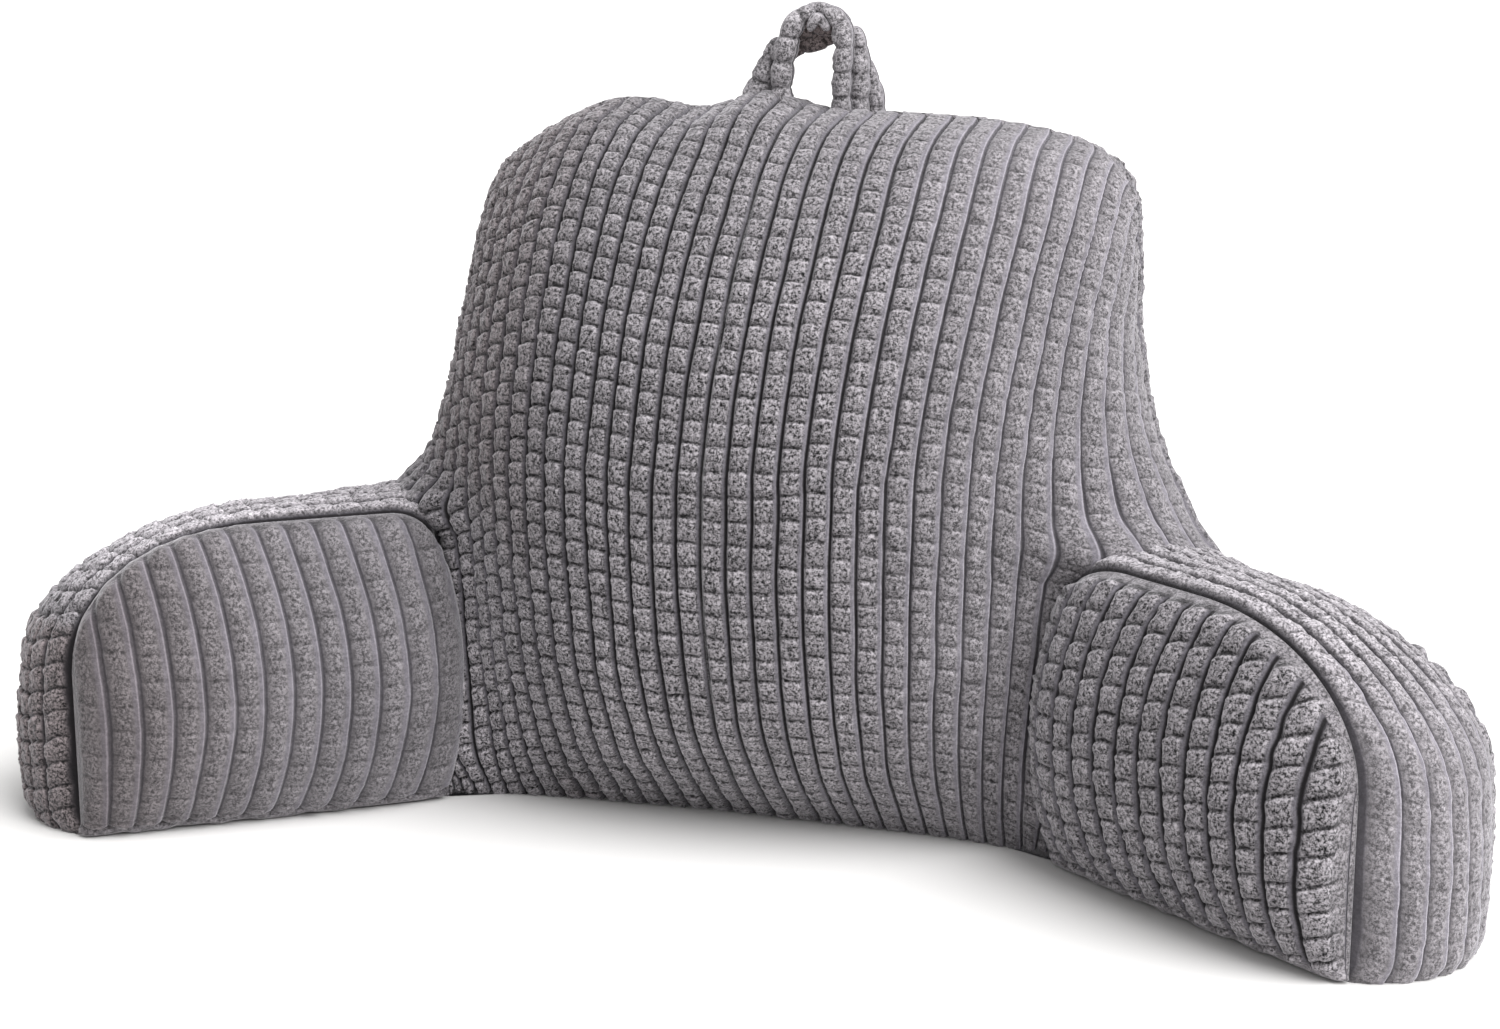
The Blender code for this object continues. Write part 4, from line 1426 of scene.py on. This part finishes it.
    def build(self) -> list[bpy.types.Object]:
        """Makes the band and its two panels.

        Returns:
            The three pieces.
        """
        word = self.side.name.lower()
        band = self.band_cloth().sewn(f"arm_band_{word}", ARM_PLUSH, "arm_plush", f"arm_{word}", 0.85)
        made = [band]
        for panel, per_rib, rows_count in ((Panel.INNER, 15, 130), (Panel.OUTER, 10, 90)):
            cloth = self.panel_cloth(panel, per_rib, rows_count)
            name, node = f"arm_{panel.value}_cloth_{word}", f"arm_panel_{panel.value}_{word}"
            made.append(cloth.sewn(name, PANEL_PLUSH, "panel_plush", node, 0.85))
        return made


@dataclass
class CarryHandle:
    """A loop of plush ribs on the crest: two on its left leg, three on its right, a fold at its apex."""

    around: int = 72
    step: float = 0.0011
    smoothings: int = 8
    core: float = 0.72
    flat: float = 0.92
    cut: float = 0.55
    lit: float = 0.5
    sharp: float = 0.5
    nap: float = 1.1
    # Painted shade: the under and roof ribs, inside the loop, take a darker nap mark
    nap_shaded: float = 0.7
    shaded: tuple[str, ...] = ("handle_under_rib", "handle_roof_rib")
    tuft_full: float = 1.05
    tuft_drawn_in: float = 0.15
    end_least: float = 0.05
    first_seed: int = 7
    relief: Relief = field(
        default_factory=lambda: Relief(waver=0.0, scallop=0.0, clump_high=0.0012, tuft_arch=0.05)
    )
    # x, y, z and radius along each rib
    left_leg: tuple[tuple[float, ...], ...] = (
        (-0.0094, 0.1220, 0.4380, 0.0080),
        (-0.0095, 0.1220, 0.4565, 0.0078),
        (-0.0102, 0.1220, 0.4662, 0.0077),
        (-0.0095, 0.1220, 0.4804, 0.0077),
        (-0.0069, 0.1220, 0.4940, 0.0080),
        (-0.0042, 0.1220, 0.5036, 0.0074),
        (-0.0009, 0.1220, 0.5101, 0.0068),
        (0.0028, 0.1220, 0.5140, 0.0060),
        (0.0069, 0.1230, 0.5159, 0.0052),
        (0.0116, 0.1230, 0.5160, 0.0040),
    )
    right_leg: tuple[tuple[float, ...], ...] = (
        (0.0163, 0.1230, 0.5175, 0.0036),
        (0.0226, 0.1220, 0.5157, 0.0054),
        (0.0280, 0.1220, 0.5120, 0.0069),
        (0.0307, 0.1220, 0.5043, 0.0077),
        (0.0317, 0.1220, 0.4948, 0.0073),
        (0.0311, 0.1220, 0.4852, 0.0072),
        (0.0306, 0.1220, 0.4756, 0.0070),
        (0.0302, 0.1220, 0.4653, 0.0071),
        (0.0303, 0.1220, 0.4557, 0.0071),
        (0.0304, 0.1220, 0.4380, 0.0071),
    )
    left_outer: tuple[tuple[float, ...], ...] = (
        (-0.0150, 0.1280, 0.4990, 0.0030),
        (-0.0196, 0.1290, 0.4890, 0.0058),
        (-0.0229, 0.1290, 0.4802, 0.0074),
        (-0.0246, 0.1290, 0.4734, 0.0088),
        (-0.0272, 0.1280, 0.4666, 0.0100),
        (-0.0294, 0.1280, 0.4567, 0.0110),
        (-0.0300, 0.1270, 0.4380, 0.0112),
    )
    right_middle: tuple[tuple[float, ...], ...] = (
        (0.0350, 0.1300, 0.5070, 0.0038),
        (0.0387, 0.1300, 0.4995, 0.0054),
        (0.0402, 0.1300, 0.4893, 0.0066),
        (0.0406, 0.1300, 0.4797, 0.0075),
        (0.0404, 0.1300, 0.4649, 0.0075),
        (0.0406, 0.1290, 0.4554, 0.0074),
        (0.0409, 0.1280, 0.4380, 0.0074),
    )
    right_outer: tuple[tuple[float, ...], ...] = (
        (0.0440, 0.1340, 0.4860, 0.0030),
        (0.0475, 0.1340, 0.4745, 0.0044),
        (0.0501, 0.1330, 0.4650, 0.0058),
        (0.0512, 0.1320, 0.4560, 0.0062),
        (0.0516, 0.1310, 0.4380, 0.0062),
    )
    over: tuple[tuple[float, ...], ...] = (
        (-0.0060, 0.1310, 0.5050, 0.0044),
        (0.0032, 0.1310, 0.5150, 0.0046),
        (0.0100, 0.1310, 0.5180, 0.0045),
        (0.0167, 0.1310, 0.5176, 0.0044),
        (0.0234, 0.1310, 0.5146, 0.0048),
        (0.0330, 0.1310, 0.5060, 0.0048),
    )
    under: tuple[tuple[float, ...], ...] = (
        (-0.0100, 0.1345, 0.4835, 0.0036),
        (-0.0070, 0.1350, 0.4895, 0.0052),
        (-0.0006, 0.1350, 0.4935, 0.0064),
        (0.0062, 0.1350, 0.4950, 0.0068),
        (0.0130, 0.1350, 0.4972, 0.0066),
        (0.0220, 0.1350, 0.4995, 0.0056),
    )
    roof: tuple[tuple[float, ...], ...] = (
        (-0.0062, 0.1330, 0.4980, 0.0058),
        (0.0040, 0.1330, 0.5050, 0.0070),
        (0.0108, 0.1330, 0.5075, 0.0070),
        (0.0176, 0.1330, 0.5060, 0.0066),
        (0.0250, 0.1330, 0.5020, 0.0050),
    )
    fold: tuple[tuple[float, ...], ...] = (
        (0.0088, 0.1200, 0.5041, 0.0028),
        (0.0117, 0.1180, 0.5095, 0.0036),
        (0.0153, 0.1170, 0.5138, 0.0038),
        (0.0183, 0.1180, 0.5106, 0.0037),
        (0.0215, 0.1200, 0.5045, 0.0030),
    )

    def rib(self, table: np.ndarray, seed: int, nap: float) -> Cloth:
        """One closed, tufted rib.

        Args:
            table: Places and radii along it.
            seed: Which pile pattern.
            nap: How pale its pile looks, from its nap and from painted light and shade.

        Returns:
            The rib, with a rounded end at each end.
        """
        chords = np.linalg.norm(np.diff(table[:, :3], axis=0), axis=1)
        at = np.concatenate([[0], np.cumsum(chords)])
        fine = np.linspace(0, at[-1], int(at[-1] / self.step))
        smooth = np.array([monotone(at, table[:, k], fine) for k in range(4)]).T
        for _ in range(self.smoothings):
            smooth[1:-1] = (smooth[:-2] + 2 * smooth[1:-1] + smooth[2:]) / 4
        tangents = np.gradient(smooth[:, :3], axis=0)
        tangents /= np.linalg.norm(tangents, axis=1, keepdims=True)
        side = np.cross(np.array([0.0, 1.0, 0.0]), tangents)
        side /= np.linalg.norm(side, axis=1, keepdims=True)
        up = np.cross(tangents, side)
        around = np.linspace(0, 2 * np.pi, self.around, endpoint=False)
        ribs = (1 - np.abs(around / np.pi - 1))[None, :] + np.zeros((len(fine), 1))
        along = fine[:, None] + np.zeros_like(ribs)
        brushed = Brushed(self.cut, self.lit, nap, self.sharp)
        relief = self.relief.raised(ribs, along, brushed, np.ones_like(ribs), seed)
        share = self.core + (1 - self.core) * relief["height"] / self.relief.rib_high
        end = np.clip(np.minimum(along, at[-1] - along) / smooth[:, 3:], self.end_least, 1)
        lumps = self.tuft_full - self.tuft_drawn_in * (2 * (relief["tufts"] % 1) - 1) ** 2
        radius = smooth[:, 3:] * share * lumps * np.sqrt(np.clip(1 - (1 - end) ** 2, 0, 1))
        spread = np.cos(around)[None, :, None] * side[:, None]
        spread = spread + self.flat * np.sin(around)[None, :, None] * up[:, None]
        points = (smooth[:, None, :3] + radius[:, :, None] * spread).reshape(-1, 3)
        ends, faces = closed_tube(points, *ribs.shape)
        return Cloth.shaped(points, relief, ends, faces)

    def build(self) -> list[bpy.types.Object]:
        """Makes each rib as a closed piece of its own, seated in the crest.

        Returns:
            The nine ribs.
        """
        tables = {
            "handle_left_inner_rib": self.left_leg,
            "handle_right_inner_rib": self.right_leg,
            "handle_left_outer_rib": self.left_outer,
            "handle_right_middle_rib": self.right_middle,
            "handle_right_outer_rib": self.right_outer,
            "handle_apex_rib": self.over,
            "handle_under_rib": self.under,
            "handle_roof_rib": self.roof,
            "handle_fold": self.fold,
        }
        made = []
        for seed, (name, table) in enumerate(tables.items(), self.first_seed):
            cloth = self.rib(np.array(table), seed, self.nap_shaded if name in self.shaded else self.nap)
            made.append(cloth.sewn(name, HANDLE_PLUSH, "handle_plush", "carry_handle", 0.5))
        return made


@dataclass
class Studio:
    """The pale floor, the soft light and the camera."""

    camera_at: tuple[float, float, float] = (0.5211, -1.6683, 0.6231)
    look_at: tuple[float, float, float] = (0.0063, -0.0296, 0.2104)
    lens: float = 67.25
    sensor: float = 36
    floor_wide: float = 100
    world_colour: str = "#FFFFFF"
    world_strength: float = 0.7
    sun_from: tuple[float, float, float] = (0.60, -0.20, 0.75)
    sun_strength: float = 5.5
    sun_spread: float = 60

    def floor(self) -> None:
        """Lays a wide floor under the pillow."""
        bpy.ops.object.select_all(action="DESELECT")
        bpy.ops.mesh.primitive_plane_add(size=self.floor_wide, location=(0, 0, 0))
        floor = bpy.context.object
        floor.name = "studio_floor"
        floor.data.materials.append(FLOOR_PAINT.material())

    def light(self) -> None:
        """Lights the pillow by a white world and one wide, distant lamp from the right."""
        world = bpy.data.worlds.new("soft_white")
        world.use_nodes = True
        world.node_tree.nodes["Background"].inputs[0].default_value = linear(self.world_colour)
        world.node_tree.nodes["Background"].inputs[1].default_value = self.world_strength
        bpy.context.scene.world = world
        data = bpy.data.lights.new("key_right", "SUN")
        data.energy = self.sun_strength
        data.angle = float(np.radians(self.sun_spread))
        lamp = bpy.data.objects.new("key_right", data)
        lamp.rotation_euler = (-Vector(self.sun_from)).to_track_quat("-Z", "Y").to_euler()
        bpy.context.scene.collection.objects.link(lamp)

    def camera(self) -> None:
        """Sets the camera at the photograph's angle."""
        data = bpy.data.cameras.new("camera")
        data.lens = self.lens
        data.sensor_width = self.sensor
        camera = bpy.data.objects.new("camera", data)
        camera.location = self.camera_at
        towards = Vector(self.look_at) - Vector(self.camera_at)
        camera.rotation_euler = towards.to_track_quat("-Z", "Y").to_euler()
        bpy.context.scene.collection.objects.link(camera)
        bpy.context.scene.camera = camera
        bpy.context.scene.view_settings.view_transform = "Standard"

    def build(self) -> None:
        """Sets the floor, the light and the camera."""
        self.floor()
        self.light()
        self.camera()


def main() -> None:
    """Builds the pillow's pieces in order, then the studio."""
    logging.basicConfig(level=logging.INFO, format="%(message)s")
    bpy.ops.object.select_all(action="DESELECT")
    right = Arm(Side.RIGHT, heel_long=0.050, heel_high=0.028)
    left = Arm(Side.LEFT, lean_all=0.0145, seam_low=0.0020)
    for maker in (Backrest(), right, left, CarryHandle()):
        for piece in maker.build():
            LOG.info("made %s", piece.name)
    Studio().build()


if __name__ == "__main__":
    main()
